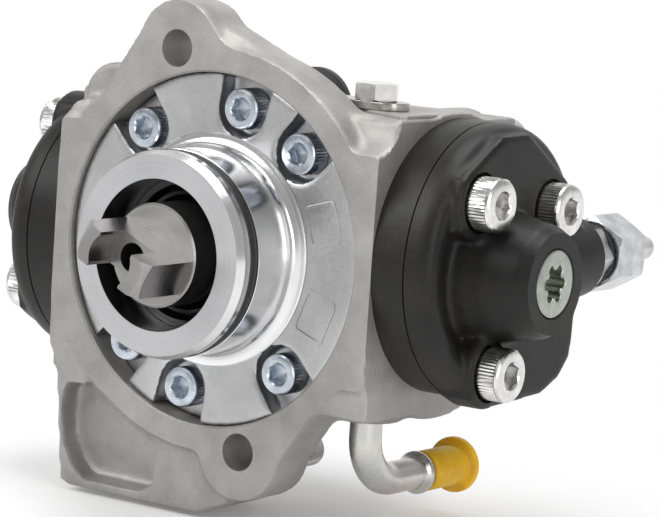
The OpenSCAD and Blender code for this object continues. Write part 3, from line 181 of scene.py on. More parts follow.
def add_turned(shape, profile, place=None, steps=96):
    """Spin a closed or axis-to-axis profile of (radius, height) about the local Z axis."""
    place = place or Matrix()
    verts = [shape.verts.new(Vector((r, 0, z)) * MM) for r, z in profile]
    edges = [shape.edges.new(pair) for pair in zip(verts, verts[1:])]
    if profile[0][0] > 0 and profile[-1][0] > 0:
        edges.append(shape.edges.new((verts[-1], verts[0])))
    before = set(shape.verts) - set(verts)
    bmesh.ops.spin(shape, geom=verts + edges, cent=(0, 0, 0), axis=(0, 0, 1), angle=math.tau,
                   steps=steps, use_merge=True)
    made = [v for v in shape.verts if v not in before]
    on_axis = [v for v in made if v.co.xy.length < 1e-7]
    bmesh.ops.remove_doubles(shape, verts=on_axis, dist=1e-7)
    made = [v for v in shape.verts if v not in before]
    bmesh.ops.transform(shape, matrix=place, verts=made)
    bmesh.ops.recalc_face_normals(shape, faces=shape.faces)


def along(axis, spot=(0, 0, 0)):
    """A frame at spot in mm whose local Z points along the axis."""
    aim = Vector(axis).to_track_quat("Z", "Y").to_matrix().to_4x4()
    return Matrix.Translation(Vector(spot) * MM) @ aim


def on_y(x=0, z=0):
    return along((0, 1, 0), (x, 0, z))


def on_x(y, z):
    return along((1, 0, 0), (0, y, z))


def polar(reach, turn, middle=(0, 0)):
    """The point that lies at a reach from the middle in the direction of an angle in degrees."""
    a = math.radians(turn)
    return middle[0] + reach * math.cos(a), middle[1] + reach * math.sin(a)


def piece(name, shape):
    data = bpy.data.meshes.new(name)
    shape.to_mesh(data)
    shape.free()
    obj = bpy.data.objects.new(name, data)
    bpy.context.scene.collection.objects.link(obj)
    return obj


def settle(obj):
    graph = bpy.context.evaluated_depsgraph_get()
    data = bpy.data.meshes.new_from_object(obj.evaluated_get(graph))
    obj.modifiers.clear()
    old = obj.data
    obj.data = data
    bpy.data.meshes.remove(old)
    return obj


def cast(obj, grain, passes):
    remesh = obj.modifiers.new("skin", "REMESH")
    remesh.mode = "VOXEL"
    remesh.voxel_size = grain * MM
    soften = obj.modifiers.new("soften", "SMOOTH")
    soften.factor = 0.5
    soften.iterations = passes
    return settle(obj)


def machine(obj, shape, how="DIFFERENCE"):
    tool = piece(obj.name + "_tool", shape)
    work = obj.modifiers.new("work", "BOOLEAN")
    work.operation = how
    work.solver = "MANIFOLD"
    work.object = tool
    settle(obj)
    data = tool.data
    bpy.data.objects.remove(tool)
    bpy.data.meshes.remove(data)
    return obj


def carve(obj, add, *spec, how="DIFFERENCE", **more):
    """Cut one added form out of a piece, or join it with how="UNION"."""
    shape = new_shape()
    add(shape, *spec, **more)
    machine(obj, shape, how)


def turned_piece(name, profile, place, steps):
    shape = new_shape()
    add_turned(shape, profile, place, steps)
    return piece(name, shape)


def crisp(obj, degrees, weighted=True):
    obj.data.polygons.foreach_set("use_smooth", [True] * len(obj.data.polygons))
    obj.data.set_sharp_from_angle(angle=math.radians(degrees))
    if weighted:
        even = obj.modifiers.new("even", "WEIGHTED_NORMAL")
        even.keep_sharp = True
        even.weight = 80
    return obj


def break_edges(obj, width, degrees=35, segments=2):
    bevel = obj.modifiers.new("edges", "BEVEL")
    bevel.width = width * MM
    bevel.segments = segments
    bevel.limit_method = "ANGLE"
    bevel.angle_limit = math.radians(degrees)
    bevel.use_clamp_overlap = True
    return settle(obj)


def new_group(name, inputs, outputs):
    tree = bpy.data.node_groups.new(name, "ShaderNodeTree")
    kinds = {"v": "NodeSocketVector", "f": "NodeSocketFloat"}
    for key, kind in inputs:
        tree.interface.new_socket(name=key, in_out="INPUT", socket_type=kinds[kind])
    for key, kind in outputs:
        tree.interface.new_socket(name=key, in_out="OUTPUT", socket_type=kinds[kind])
    return tree, tree.nodes.new("NodeGroupInput"), tree.nodes.new("NodeGroupOutput")


def new_material(name):
    mat = bpy.data.materials.new(name)
    mat.use_nodes = True
    tree = mat.node_tree
    spot = shader(tree, "ShaderNodeTexCoord").outputs["Object"]
    return mat, tree, tree.nodes["Principled BSDF"], spot


def ramp(tree, factor, stops):
    made = shader(tree, "ShaderNodeValToRGB", {"Fac": factor})
    first, last = made.color_ramp.elements
    first.position, first.color = stops[0][0], (*stops[0][1], 1)
    last.position, last.color = stops[-1][0], (*stops[-1][1], 1)
    for at, color in stops[1:-1]:
        made.color_ramp.elements.new(at).color = (*color, 1)
    return made.outputs["Color"]


def noise(tree, spot, scale, detail, rough=0.5):
    return shader(tree, "ShaderNodeTexNoise", {"Vector": spot, "Scale": scale, "Detail": detail,
                                               "Roughness": rough}).outputs["Fac"]


def mixed(tree, share, first, second):
    return shader(tree, "ShaderNodeMix",
                  {"Factor": share, "A": first, "B": second}).outputs["Result"]


def set_gloss(tree, skin, value, low, high):
    """Let the roughness run from low to high with a noise."""
    gloss = shader(tree, "ShaderNodeMapRange", {"Value": value, "From Min": 0.3, "From Max": 0.7,
                                                "To Min": low, "To Max": high})
    tree.links.new(gloss.outputs["Result"], skin.inputs["Roughness"])


def set_relief(tree, skin, value, strength, depth=0.0001):
    relief = shader(tree, "ShaderNodeBump",
                    {"Height": value, "Strength": strength, "Distance": depth})
    tree.links.new(relief.outputs["Normal"], skin.inputs["Normal"])


# The grain of a casting: fine blasted pits over broad stains.
grain_tree, grain_in, grain_out = new_group("cast_grain",
                                            [("Vector", "v"), ("Fine", "f"), ("Broad", "f")],
                                            [("Tone", "f"), ("Height", "f")])
fine = noise(grain_tree, grain_in.outputs["Vector"], grain_in.outputs["Fine"], 5.0, 0.65)
broad = noise(grain_tree, grain_in.outputs["Vector"], grain_in.outputs["Broad"], 4.0, 0.6)
grain_tree.links.new(mixed(grain_tree, 0.62, fine, broad), grain_out.inputs["Tone"])
grain_tree.links.new(fine, grain_out.inputs["Height"])


def cast_metal(name, stops, rough, bump, fine_scale=1500.0, broad_scale=70.0, metallic=1.0):
    mat, tree, skin, spot = new_material(name)
    grain = shader(tree, "ShaderNodeGroup", node_tree=grain_tree)
    tree.links.new(spot, grain.inputs["Vector"])
    grain.inputs["Fine"].default_value = fine_scale
    grain.inputs["Broad"].default_value = broad_scale
    tree.links.new(ramp(tree, grain.outputs["Tone"], stops), skin.inputs["Base Color"])
    set_gloss(tree, skin, grain.outputs["Height"], rough - 0.07, rough + 0.07)
    set_relief(tree, skin, grain.outputs["Height"], bump, 0.0003)
    skin.inputs["Metallic"].default_value = metallic
    return mat


def finish_piece(obj, mat, slot, *nodes, body="housing"):
    obj.data.materials.clear()
    obj.data.materials.append(mat)
    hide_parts(*nodes)
    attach(obj, body)


housing_skin = cast_metal("cast_aluminium", [(0.32, (0.30, 0.29, 0.275)),
                                             (0.5, (0.40, 0.385, 0.37)),
                                             (0.68, (0.50, 0.485, 0.465))], 0.56, 0.34,
                          metallic=0.8)

# Positions and sizes in mm that several pieces share.
valve_spot = (-29, 29)
sensor_spot = (30, 27)
plug_x, plug_z = 0.2, -54.5
pipe_x, pipe_y, pipe_low = 36.3, 20.0, -54.0
clamp_x, clamp_y, pad_top = 32.0, 21.0, 37.0
rear_at = 66.0
rear_screw_circle = 25.6
rear_screw_turns = range(0, 360, 60)
ear_reach = 13.4
flange_round = 49.4
flange_deep = 14.0
skirt_deep = 28.0
ear_turns = (20, 200)
lug_round = 12.0
hole_round = 4.6
hole_x, hole_z = -12.96, 47.7
seat_at = 48.0
plunger_at = 31.0
screw_circle = 35.4
cover_screw_turns = [129.5, 79.4, 46.9, -50.5, -100.6, -133.1]
head_screw_circle = 23.2
head_screw_turns = [127.6, 41.8, -101.2]
head_screw_spots = [polar(head_screw_circle, turn, (plunger_at, 0)) for turn in head_screw_turns]
stock = 0.8

shape = new_shape()
add_rod(shape, (0, -stock, 0), (0, flange_deep, 0), flange_round, sides=160)
add_rod(shape, (hole_x, -stock, hole_z), (hole_x, flange_deep, hole_z), lug_round, sides=72)
add_rod(shape, (-hole_x, -stock, -hole_z), (-hole_x, flange_deep + 0.3, -hole_z), lug_round,
        sides=72)
add_slab(shape, [(-24.3, 51.6), (-6.0, 57.5), (0, 30), (-30, 10), (-47.9, 26.4), (-41.2, 27.8),
                 (-33.3, 38.2)], -stock, flange_deep)
add_slab(shape, [(-4.5, 56.2), (0.6, 50.6), (6, 48.6), (15, 46.6), (0, 30), (-14, 42)], -stock,
         flange_deep)
add_slab(shape,
         [(47.9, -25.4), (41, -27.4), (35.6, -33), (18.4, -58.4), (6, -44), (0, -30), (30, -8)],
         -stock, flange_deep)
add_block(shape, (-seat_at, -stock, -28), (seat_at, flange_deep, 27.6))
add_slab(shape, [(-8.0, 56.4), (13.4, 47.4), (0, 36), (-14, 44)], 3.4, flange_deep)
add_block(shape, (-seat_at - 0.5, 1.8, -35.8), (seat_at + 0.5, 60, 27.6))
add_block(shape, (-seat_at - 0.5, 8, 18), (seat_at + 0.5, 60, 35.4))
arc = [polar(8, 9 * i - 90, (0, 36)) for i in range(11)]
add_slab(shape, arc + [(14, 35), (14, 18), (0, 18)], 34, seat_at + 0.5, axis="X")
add_slab(shape, [(6, 18.5), (24, 18.5), (48.4, 8.4), (48.4, 32), (33, 38), (6, 46)], 30, 36.2,
         axis="Z")
add_rod(shape, (34, 33, 0), (seat_at + 0.5, 33, 0), 37.6, sides=96)
add_rod(shape, (-34, 33, 0), (-seat_at - 0.5, 33, 0), 37.6, sides=96)
add_rod(shape, (0, 59, 0), (0, rear_at + 0.4, 0), 34.4, sides=96)
add_rod(shape, (valve_spot[0], 38, valve_spot[1]), (valve_spot[0], rear_at + 0.4, valve_spot[1]),
        13.5, sides=48)
add_rod(shape, (sensor_spot[0], 40, sensor_spot[1]),
        (sensor_spot[0], rear_at + 0.4, sensor_spot[1]), 9, sides=48)
add_rod(shape, (-37, 6, 33), (-37, 30, 33), 9, sides=48)
add_rod(shape, (-42, 1.2, 27), (-42, 10, 27), 5.5, sides=48)
add_rod(shape, (pipe_x, pipe_y, -38), (pipe_x, pipe_y, -30), 8.4, sides=48)
for turn in ear_turns:
    x, z = polar(ear_reach, turn, valve_spot)
    add_rod(shape, (x, 50, z), (x, rear_at + 0.4, z), 4.9, sides=32)
add_slab(shape, [(-47.8, -26), (-43.6, -64), (-41, -65.2), (0, -65.2), (9.2, -61.5), (13.5, -50),
                 (13.5, -26)], 1.6, flange_deep)
add_slab(shape, [(-47.8, -26), (-43.6, -64), (-41, -65.2), (0, -65.2), (6, -62.8), (6, -26)], 12,
         skirt_deep)
add_slab(shape, [(-10.2, -30), (-10.2, -57), (-7.3, -61.7), (2.8, -61.7), (6, -58.3), (6, -30)], 26,
         40.3)
add_slab(shape, [(-47.9, -26), (-49.2, -30), (-30, -40), (0, -44), (0, -20)], 0.6, 6)
housing = cast(piece("housing_casting", shape), 0.9, 0)

carve(housing, add_slab, [(-43, -39.5), (-44, -46), (-43, -54), (-40, -59.5), (-36.5, -62.4),
                          (-18, -62.6), (-14.2, -60.5), (-13.2, -51.2), (-20, -47.6), (-27, -44.2),
                          (-34, -38.4)], -2, 8)
cast(housing, 0.9, 7)

pad = new_shape()
add_slab(pad,
         [(8, 19.5), (26, 19.5), (46, 10.6), (47.2, 12), (47.2, 29), (46, 30), (32, 36), (8, 43)],
         34, 37, axis="Z")
bmesh.ops.bevel(pad, geom=[e for e in pad.edges if min(v.co.z for v in e.verts) > 36.9 * MM],
                offset=0.5 * MM, segments=3, profile=0.5, affect="EDGES", material=-1)
machine(housing, pad, "UNION")
carve(housing, add_block, (-80, -10, -80), (80, 0, 80))
for sign in (1, -1):
    low_x, high_x = (seat_at, 90) if sign > 0 else (-90, -seat_at)
    carve(housing, add_block, (low_x, -5, -80), (high_x, 80, 80))
    carve(housing, add_rod, (sign * 20, plunger_at, 0), (sign * 60, plunger_at, 0), 12.6)
    carve(housing, add_rod, (sign * 41.7, plunger_at, 0), (sign * 60, plunger_at, 0), 16.05,
          sides=96)
    carve(housing, add_rod, (sign * hole_x, -5, sign * hole_z), (sign * hole_x, 40, sign * hole_z),
          hole_round)
carve(housing, add_turned, [(0, -3), (46.5, -3), (43, 0.45), (43, 12), (29.5, 12), (29.5, 44),
                            (11.5, 44), (11.5, 56.2), (20.6, 56.2), (20.6, 64), (21.42, 64),
                            (21.42, 68), (0, 68)], on_y(), 192)
cut = new_shape()
add_rod(cut, (-hole_x, 13.6, -hole_z), (-hole_x, 50, -hole_z), 8.5)
add_rod(cut, (plug_x, 18, plug_z), (plug_x, 41, plug_z), 3.62, sides=40)
add_rod(cut, (pipe_x, pipe_y, -42), (pipe_x, pipe_y, -27.8), 4.02, sides=48)
add_rod(cut, (valve_spot[0], 49, valve_spot[1]), (valve_spot[0], 70, valve_spot[1]), 7.52)
add_rod(cut, (sensor_spot[0], 54, sensor_spot[1]), (sensor_spot[0], 70, sensor_spot[1]), 5.02,
        sides=40)
add_rod(cut, (clamp_x, clamp_y, 27.5), (clamp_x, clamp_y, 40), 3.0, sides=40)
for turn in ear_turns:
    x, z = polar(ear_reach, turn, valve_spot)
    add_rod(cut, (x, 58, z), (x, 70, z), 2.0, sides=32)
machine(housing, cut)
cut = new_shape()
add_rod(cut, (plug_x, 40, plug_z), (plug_x, 46, plug_z), 5.2, sides=48)
for turn in cover_screw_turns:
    x, z = polar(screw_circle, turn)
    add_rod(cut, (x, 11, z), (x, 23.8, z), 3.0, sides=32)
for y, z in head_screw_spots:
    add_rod(cut, (35.4, y, z), (49, y, z), 4.0, sides=40)
    add_rod(cut, (-35.4, y, -z), (-49, y, -z), 4.0, sides=40)
machine(housing, cut)
carve(housing, add_block, (-80, rear_at, -80), (80, 90, 80))
for turn in rear_screw_turns:
    x, z = polar(rear_screw_circle, turn)
    carve(housing, add_rod, (x, 57, z), (x, 70, z), 2.5, sides=32)
crisp(housing, 28)
finish_piece(housing, housing_skin, "cast_aluminium", "pump_housing")


# Front cover: a second die casting that closes the cam chamber. Its pilot, seal seat
# and groove are turned bright, and six open pockets take the cover screws.
cover_front = 1.5
cover_back = 12.0
cover_rim = 42.9
pocket_floor = 6.8
pocket_round = 6.9
pocket_mouth = pocket_round + 1.5
pilot_turned = 28.6
frame_circle = 33.9
pilot_round = 25.0
pilot_end = -20.3


def round_outline(middle, size, corner, turn=0, steps=6):
    """A rounded rectangle as points, turned about its middle."""
    points = []
    for k, (sx, sz) in enumerate(((1, 1), (-1, 1), (-1, -1), (1, -1))):
        for i in range(steps + 1):
            a = math.radians(90 * k + 90 * i / steps)
            points.append((sx * (size[0] / 2 - corner) + corner * math.cos(a),
                           sz * (size[1] / 2 - corner) + corner * math.sin(a)))
    c, w = math.cos(turn), math.sin(turn)
    return [(middle[0] + x * c - z * w, middle[1] + x * w + z * c) for x, z in points]


front_cover = turned_piece("front_cover_casting", [(12, cover_front), (cover_rim, cover_front),
                                                   (cover_rim, cover_back + 1),
                                                   (21, cover_back + 1), (21, 19), (12, 19)],
                           on_y(), 160)
for turn in cover_screw_turns:
    c, w = math.cos(math.radians(turn)), math.sin(math.radians(turn))
    x, z = polar(screw_circle, turn)
    carve(front_cover, add_rod, (x, -5, z), (x, pocket_floor, z), pocket_round, sides=48)
    carve(front_cover, add_slab, [(x - pocket_round * w, z + pocket_round * c),
                                  (x + pocket_round * w, z - pocket_round * c),
                                  (60 * c + pocket_mouth * w, 60 * w - pocket_mouth * c),
                                  (60 * c - pocket_mouth * w, 60 * w + pocket_mouth * c)], -5,
          pocket_floor)
cast(front_cover, 0.6, 6)
for middle_turn, size in ((17.0, (9.4, 10.4)), (-21.0, (9.4, 11.6))):
    turn = math.radians(middle_turn)
    middle = polar(frame_circle, middle_turn)
    rib = new_shape()
    add_slab(rib, round_outline(middle, size, 1.6, turn), cover_front - 0.32, cover_front + 1)
    bmesh.ops.bevel(rib,
                    geom=[e for e in rib.edges if all(v.co.y < cover_front * MM for v in e.verts)],
                    offset=0.25 * MM, segments=2, profile=0.5, affect="EDGES", material=-1)
    machine(front_cover, rib, "UNION")
    carve(front_cover, add_slab, round_outline(middle, (size[0] - 1.9, size[1] - 1.9), 1.0, turn),
          cover_front - 2, cover_front + 0.02)
for turn in cover_screw_turns:
    x, z = polar(screw_circle, turn)
    carve(front_cover, add_rod, (x, 0, z), (x, 20, z), 3.3, sides=32)
carve(front_cover, add_turned, [(21.2, cover_back), (50, cover_back), (50, 30), (21.2, 30)], on_y(),
      128)
carve(front_cover, add_turned, [(0, -10), (17.5, -10), (17.5, 2.4), (14, 2.4), (14, 30), (0, 30)],
      on_y(), 128)
carve(front_cover, add_turned, [(18.2, pilot_end), (18.5, pilot_end), (24.0, pilot_end),
                                (24.9, pilot_end + 2.1), (25, pilot_end + 2.3), (25, -16.3),
                                (24.85, -16.2), (22.4, -16.2), (22.4, -12.8), (24.85, -12.8),
                                (25, -12.7), (25, -2.4), (25.12, -1.3), (25.5, -0.3), (26.1, 0.4),
                                (27.2, 0.9), (28.2, 1.0), (28.5, 1.25), (28.5, 3), (14, 3), (14, 2),
                                (13.2, 1), (13.2, -1.4), (18.2, -1.4)], on_y(), 192, how="UNION")
crisp(front_cover, 28)


# The lines of a lathe: rings about an axis through a centre, with broad streaks over them.
def vectors(tree, how, first, second=None, scale=None):
    inputs = {0: first}
    if second is not None:
        inputs[1] = second
    if scale is not None:
        inputs["Scale"] = scale
    return shader(tree, "ShaderNodeVectorMath", inputs, operation=how).outputs


turn_tree, turn_in, turn_out = new_group("turning_marks", [("Vector", "v"), ("Centre", "v"),
                                                           ("Axis", "v"), ("Scale", "f")],
                                         [("Height", "f"), ("Tone", "f")])
offset = vectors(turn_tree, "SUBTRACT", turn_in.outputs["Vector"], turn_in.outputs["Centre"])
height = vectors(turn_tree, "DOT_PRODUCT", offset["Vector"], turn_in.outputs["Axis"])
lift = vectors(turn_tree, "SCALE", turn_in.outputs["Axis"], scale=height["Value"])
flat = vectors(turn_tree, "SUBTRACT", offset["Vector"], lift["Vector"])
reach = vectors(turn_tree, "LENGTH", flat["Vector"])
spot = shader(turn_tree, "ShaderNodeCombineXYZ", {"X": reach["Value"], "Y": height["Value"]})
lines = noise(turn_tree, spot.outputs["Vector"], turn_in.outputs["Scale"], 3.0, 0.7)
streak = noise(turn_tree, turn_in.outputs["Vector"], 55.0, 3.0)
turn_tree.links.new(lines, turn_out.inputs["Height"])
turn_tree.links.new(mixed(turn_tree, 0.5, lines, streak), turn_out.inputs["Tone"])


def turned_metal(name, dark, light, rough, centre=(0, 0, 0), axis=(0, 1, 0), scale=3000.0,
                 bump=0.12):
    mat, tree, skin, spot = new_material(name)
    marks = shader(tree, "ShaderNodeGroup", node_tree=turn_tree)
    tree.links.new(spot, marks.inputs["Vector"])
    marks.inputs["Centre"].default_value = Vector(centre) * MM
    marks.inputs["Axis"].default_value = axis
    marks.inputs["Scale"].default_value = scale
    tree.links.new(ramp(tree, marks.outputs["Tone"], [(0.35, dark), (0.65, light)]),
                   skin.inputs["Base Color"])
    set_gloss(tree, skin, marks.outputs["Tone"], rough - 0.05, rough + 0.05)
    set_relief(tree, skin, marks.outputs["Height"], bump)
    skin.inputs["Metallic"].default_value = 1.0
    return mat


cover_skin = cast_metal("cover_aluminium", [(0.32, (0.40, 0.40, 0.405)), (0.5, (0.50, 0.50, 0.505)),
                                            (0.68, (0.61, 0.61, 0.615))], 0.36, 0.14,
                        broad_scale=50.0)
turned_bright = turned_metal("turned_bright", (0.72, 0.72, 0.725), (0.88, 0.88, 0.885), 0.2)
turned_face = turned_metal("turned_face", (0.52, 0.52, 0.53), (0.66, 0.66, 0.67), 0.42, bump=0.2)


def dress(obj, mats, pick):
    """Give each face the material that pick(face centre in mm, normal) names by number."""
    obj.data.materials.clear()
    for mat in mats:
        obj.data.materials.append(mat)
    numbers = [pick(face.center / MM, face.normal) for face in obj.data.polygons]
    obj.data.polygons.foreach_set("material_index", numbers)


def cover_finish(at, facing):
    reach = math.hypot(at.x, at.z)
    if reach > pilot_turned or at.y > cover_front - 0.2:
        return 0
    return 2 if at.y < pilot_end + 0.05 and reach < 24.0 else 1


dress(front_cover, [cover_skin, turned_bright, turned_face], cover_finish)
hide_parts("front_cover")
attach(front_cover, "housing")


# Seals: black rubber rings in the pilot's groove, round the cover and on the heads' spigots,
# and a lipped shaft seal in the mouth. They are moulded and pressed or rolled into place.
def rubber(name, tone=0.012, rough=0.45):
    mat, tree, skin, spot = new_material(name)
    dust = noise(tree, spot, 900.0, 4.0)
    tree.links.new(ramp(tree, dust, [(0.4, (tone,) * 3), (0.7, (2.2 * tone,) * 3)]),
                   skin.inputs["Base Color"])
    set_relief(tree, skin, dust, 0.1)
    skin.inputs["Roughness"].default_value = rough
    return mat


def wear_finish(mat, *names):
    for name in names:
        data = bpy.data.objects[name].data
        data.materials.clear()
        data.materials.append(mat)


seal_rubber = rubber("seal_rubber")
wear_finish(seal_rubber, "cover_seal", "head_seal_right", "head_seal_left")
pilot_ring = turned_piece("pilot_ring_rubber", [(22.5, -16.1), (23.2, -16.15), (24.6, -16.0),
                                                (24.95, -15.4), (25.0, -14.5), (24.95, -13.6),
                                                (24.6, -13.0), (23.2, -12.85), (22.5, -12.9)],
                          on_y(), 160)
crisp(pilot_ring, 60, False)
finish_piece(pilot_ring, seal_rubber, "seal_rubber", "pilot_o_ring")
shaft_seal = turned_piece("shaft_seal_rubber", [(18.15, -9.2), (18.15, -2), (13.8, -2),
                                                (12.62, -4.5), (12.62, -5.1), (13.6, -6.4),
                                                (13.9, -8.3), (14.7, -8.6), (14.9, -7.4),
                                                (14.5, -5.6), (15.2, -4.6), (16.0, -5.2),
                                                (16.4, -9.0), (17.0, -9.4)], on_y(), 128)
crisp(shaft_seal, 45, False)
finish_piece(shaft_seal, rubber("shaft_seal_black", 0.008, 0.35), "seal_rubber", "shaft_seal")


# Cover screws: six M6 socket head screws, rolled and knurled steel with a bluish zinc plating,
# screwed through the cover's pockets into the housing.
def socket_head(head_round, head_high, socket, shank_round, shank_long, ridges):
    """A knurled socket head screw along +Z with its seat at 0."""
    edge = 0.09 * head_round
    shape = new_shape()
    add_turned(shape, [(0, -shank_long), (shank_round - 0.5, -shank_long),
                       (shank_round, 0.5 - shank_long), (shank_round, 0), (head_round - 0.3, 0),
                       (head_round, 0.3), (head_round, 0.7), (head_round, head_high - 2.2 * edge),
                       (head_round, head_high - 1.8 * edge),
                       (head_round - 0.25 * edge, head_high - 0.9 * edge),
                       (head_round - edge, head_high - 0.2 * edge),
                       (head_round - 1.7 * edge, head_high), (0, head_high)], steps=2 * ridges)
    for vert in shape.verts:
        high = vert.co.z / MM
        if 0.6 < high < head_high - 2 * edge:
            turn = math.atan2(vert.co.y, vert.co.x) / math.tau * 2 * ridges
            if round(turn) % 2:
                vert.co.xy *= 1 - 0.2 / head_round
    screw = piece("screw_model", shape)
    carve(screw, add_rod, (0, 0, 0.45 * head_high), (0, 0, head_high + 1), socket / math.sqrt(3),
          sides=6)
    carve(screw, add_rod, (0, 0, 0.32 * head_high), (0, 0, 0.452 * head_high), 0.3, socket * 0.49,
          sides=24)
    hole = new_shape()
    lead = socket / math.sqrt(3)
    add_rod(hole, (0, 0, head_high - 0.5), (0, 0, head_high + 0.5), lead - 0.45, lead + 0.55,
            sides=48)
    machine(screw, hole)
    return screw


def repeat(model, name, places):
    """One object with a copy of the model's mesh at each place."""
    shape = new_shape()
    for place in places:
        before = len(shape.verts)
        shape.from_mesh(model.data)
        shape.verts.ensure_lookup_table()
        bmesh.ops.transform(shape, matrix=place, verts=shape.verts[before:])
    obj = piece(name, shape)
    data = model.data
    bpy.data.objects.remove(model)
    bpy.data.meshes.remove(data)
    return obj


def plated(name, dark, light, rough):
    mat, tree, skin, spot = new_material(name)
    cloud = noise(tree, spot, 220.0, 5.0, 0.6)
    tree.links.new(ramp(tree, cloud, [(0.36, dark), (0.64, light)]), skin.inputs["Base Color"])
    set_gloss(tree, skin, cloud, rough - 0.06, rough + 0.08)
    set_relief(tree, skin, noise(tree, spot, 2500.0, 2.0), 0.06)
    skin.inputs["Metallic"].default_value = 1.0
    return mat


zinc_blue = plated("zinc_blue", (0.42, 0.46, 0.52), (0.66, 0.71, 0.77), 0.24)
places = []
for number, turn in enumerate(cover_screw_turns):
    x, z = polar(screw_circle, turn)
    places.append(along((0, -1, 0), (x, pocket_floor, z)) @ Matrix.Rotation(0.7 * number, 4, "Z"))
cover_screws = repeat(socket_head(5.0, 6.0, 5.0, 2.95, 16.0, 42), "cover_screws_zinc", places)
crisp(cover_screws, 24, False)
finish_piece(cover_screws, zinc_blue, "zinc_screw", "front_cover_screws")


# Drive shaft: forged and ground dark steel in one piece with its eccentric. Its end disc
# carries a forked tang, milled flat, that drives the pump from the engine's coupling.
tang_turn = math.radians(-24)
disc_front = -21.2
tang_front = -37.6
shaft = turned_piece("drive_shaft_steel", [(0, disc_front), (12.1, disc_front),
                                           (12.5, disc_front + 0.4), (12.5, 20.5), (13, 20.5),
                                           (13, 21), (0, 21)], on_y(), 128)
carve(shaft, add_turned, [(0, 20.9), (16, 20.9), (16, 41), (0, 41)],
      Matrix.Translation((2.8 * MM, 0, 0)) @ on_y(), 128, how="UNION")
carve(shaft, add_turned, [(0, 40.9), (12, 40.9), (12, 42.5), (10, 42.5), (10, 56.1), (4.2, 56.1),
                          (4.2, 63.6), (0, 63.6)], on_y(), 96, how="UNION")
tang = new_shape()
add_block(tang, (-10.4, tang_front, -4.5), (10.4, disc_front + 0.6, 4.5))
tang_obj = piece("tang", tang)
carve(tang_obj, add_turned, [(0, tang_front - 1), (9.3, tang_front - 1), (9.3, tang_front),
                             (11.7, tang_front + 2.4), (11.7, disc_front + 2), (0, disc_front + 2)],
      on_y(), 128, how="INTERSECT")
carve(tang_obj, add_block, (-5.1, tang_front - 2, -9), (5.1, tang_front + 8.6, 9))
carve(tang_obj, add_rod, (0, tang_front - 2, 0), (0, tang_front + 8.0, 0), 6.25, sides=64)
break_edges(tang_obj, 0.35, 30, 2)
part = bmesh.new()
part.from_mesh(tang_obj.data)
bmesh.ops.transform(part, matrix=Matrix.Rotation(-tang_turn, 4, "Y"), verts=part.verts)
bpy.data.objects.remove(tang_obj)
machine(shaft, part, "UNION")
carve(shaft, add_turned,
      [(0, -32), (3.8, -32), (3.5, -28.8), (3.5, -24.2), (2, -21.2), (2, -15.2), (0, -14)], on_y(),
      48)
crisp(shaft, 28)
shaft_steel = turned_metal("shaft_steel", (0.27, 0.262, 0.258), (0.41, 0.40, 0.395), 0.3,
                           scale=2200.0, bump=0.1)
finish_piece(shaft, shaft_steel, "shaft_steel", "drive_shaft", body="shaft")


# Cylinder heads: two equal forged steel heads with a satin black phosphate skin, the left one
# turned half round the shaft. Each holds its plunger's barrel and the inlet and outlet valves,
# and is bolted to its side of the housing.
head_front = 79.6
head_seat = 64.4
foot_y, foot_z = 33.4, 2.6
outlet_x, outlet_z, outlet_y = 60.0, 1.5, 70.0
half_round = Matrix.Rotation(math.pi, 4, "Y")


def half_turned(obj, name):
    """A copy of a piece, turned half round the shaft."""
    copy = bpy.data.objects.new(name, obj.data.copy())
    bpy.context.scene.collection.objects.link(copy)
    copy.data.transform(half_round)
    return copy


plateau = [(-22, 24), (-6, 33.6), (6, 34), (25, 22), (33, 14), (34.5, 0), (32.5, -22), (28, -27),
           (20, -30.4), (-2, -31.5), (-12, -29), (-13, -18), (-7, -12), (0, 0), (-10, 9), (-22, 12)]


shape = new_shape()
add_turned(shape, [(0, 46), (33.4, 46), (33.4, 60.2), (32.7, 62.6), (31.2, 64), (29, 64.2),
                   (26, 63.2), (22.4, 60.8), (19, 60.5), (0, 60.5)], on_x(foot_y, foot_z), 128)
add_slab(shape, [(plunger_at + y, z) for y, z in plateau], 57, 66.4, axis="X")
add_turned(shape, [(0, 56), (17.8, 58), (17.2, 62), (15.9, 66), (14.7, 72), (13.7, 77),
                   (12.4, 79.2), (11.8, 81), (0, 81)], on_x(plunger_at, 0), 96)
add_rod(shape, (outlet_x, 41, outlet_z), (outlet_x, outlet_y + 1.5, outlet_z), 10.3, sides=72)
for y, z in head_screw_spots:
    add_rod(shape, (58, y, z), (66.4, y, z), 9.0, sides=40)
head = cast(piece("head_casting", shape), 0.7, 8)
carve(head, add_block, (30, -30, -60), (seat_at, 90, 60))
carve(head, add_block, (head_front, 0, -40), (90, 60, 40))
carve(head, add_block, (40, outlet_y, -30), (90, 90, 30))
carve(head, add_turned, [(33.0, 56.75), (36, 56.65), (36, 57.25), (33.0, 57.15)],
      on_x(foot_y, foot_z), 160)
cut = new_shape()
for y, z in head_screw_spots:
    add_turned(cut, [(0, 40), (4.4, 40), (4.4, head_seat), (7.3, head_seat), (7.3, 90), (0, 90)],
               on_x(y, z), 56)
machine(head, cut)
carve(head, add_turned, [(0, 35), (6.3, 35), (6.8, 35.5), (6.8, 42), (15.5, 42), (16, 42.5),
                         (16, 43.8), (14.2, 43.8), (14.2, 45.8), (16, 45.8), (16, 48.6), (0, 48.6)],
      on_x(plunger_at, 0), 96, how="UNION")
carve(head, add_turned, [(0, 30), (4.27, 30), (4.27, 61), (7, 62), (7, 71.6), (8.25, 71.6),
                         (8.25, 79.1), (8.75, 79.7), (8.75, 90), (0, 90)], on_x(plunger_at, 0), 96)
carve(head, add_turned,
      [(0, 48), (3.1, 49), (3.1, 58), (6.25, 58), (6.25, 69.6), (6.7, 70.1), (6.7, 75), (0, 75)],
      on_y(outlet_x, outlet_z), 64)
crisp(head, 30)
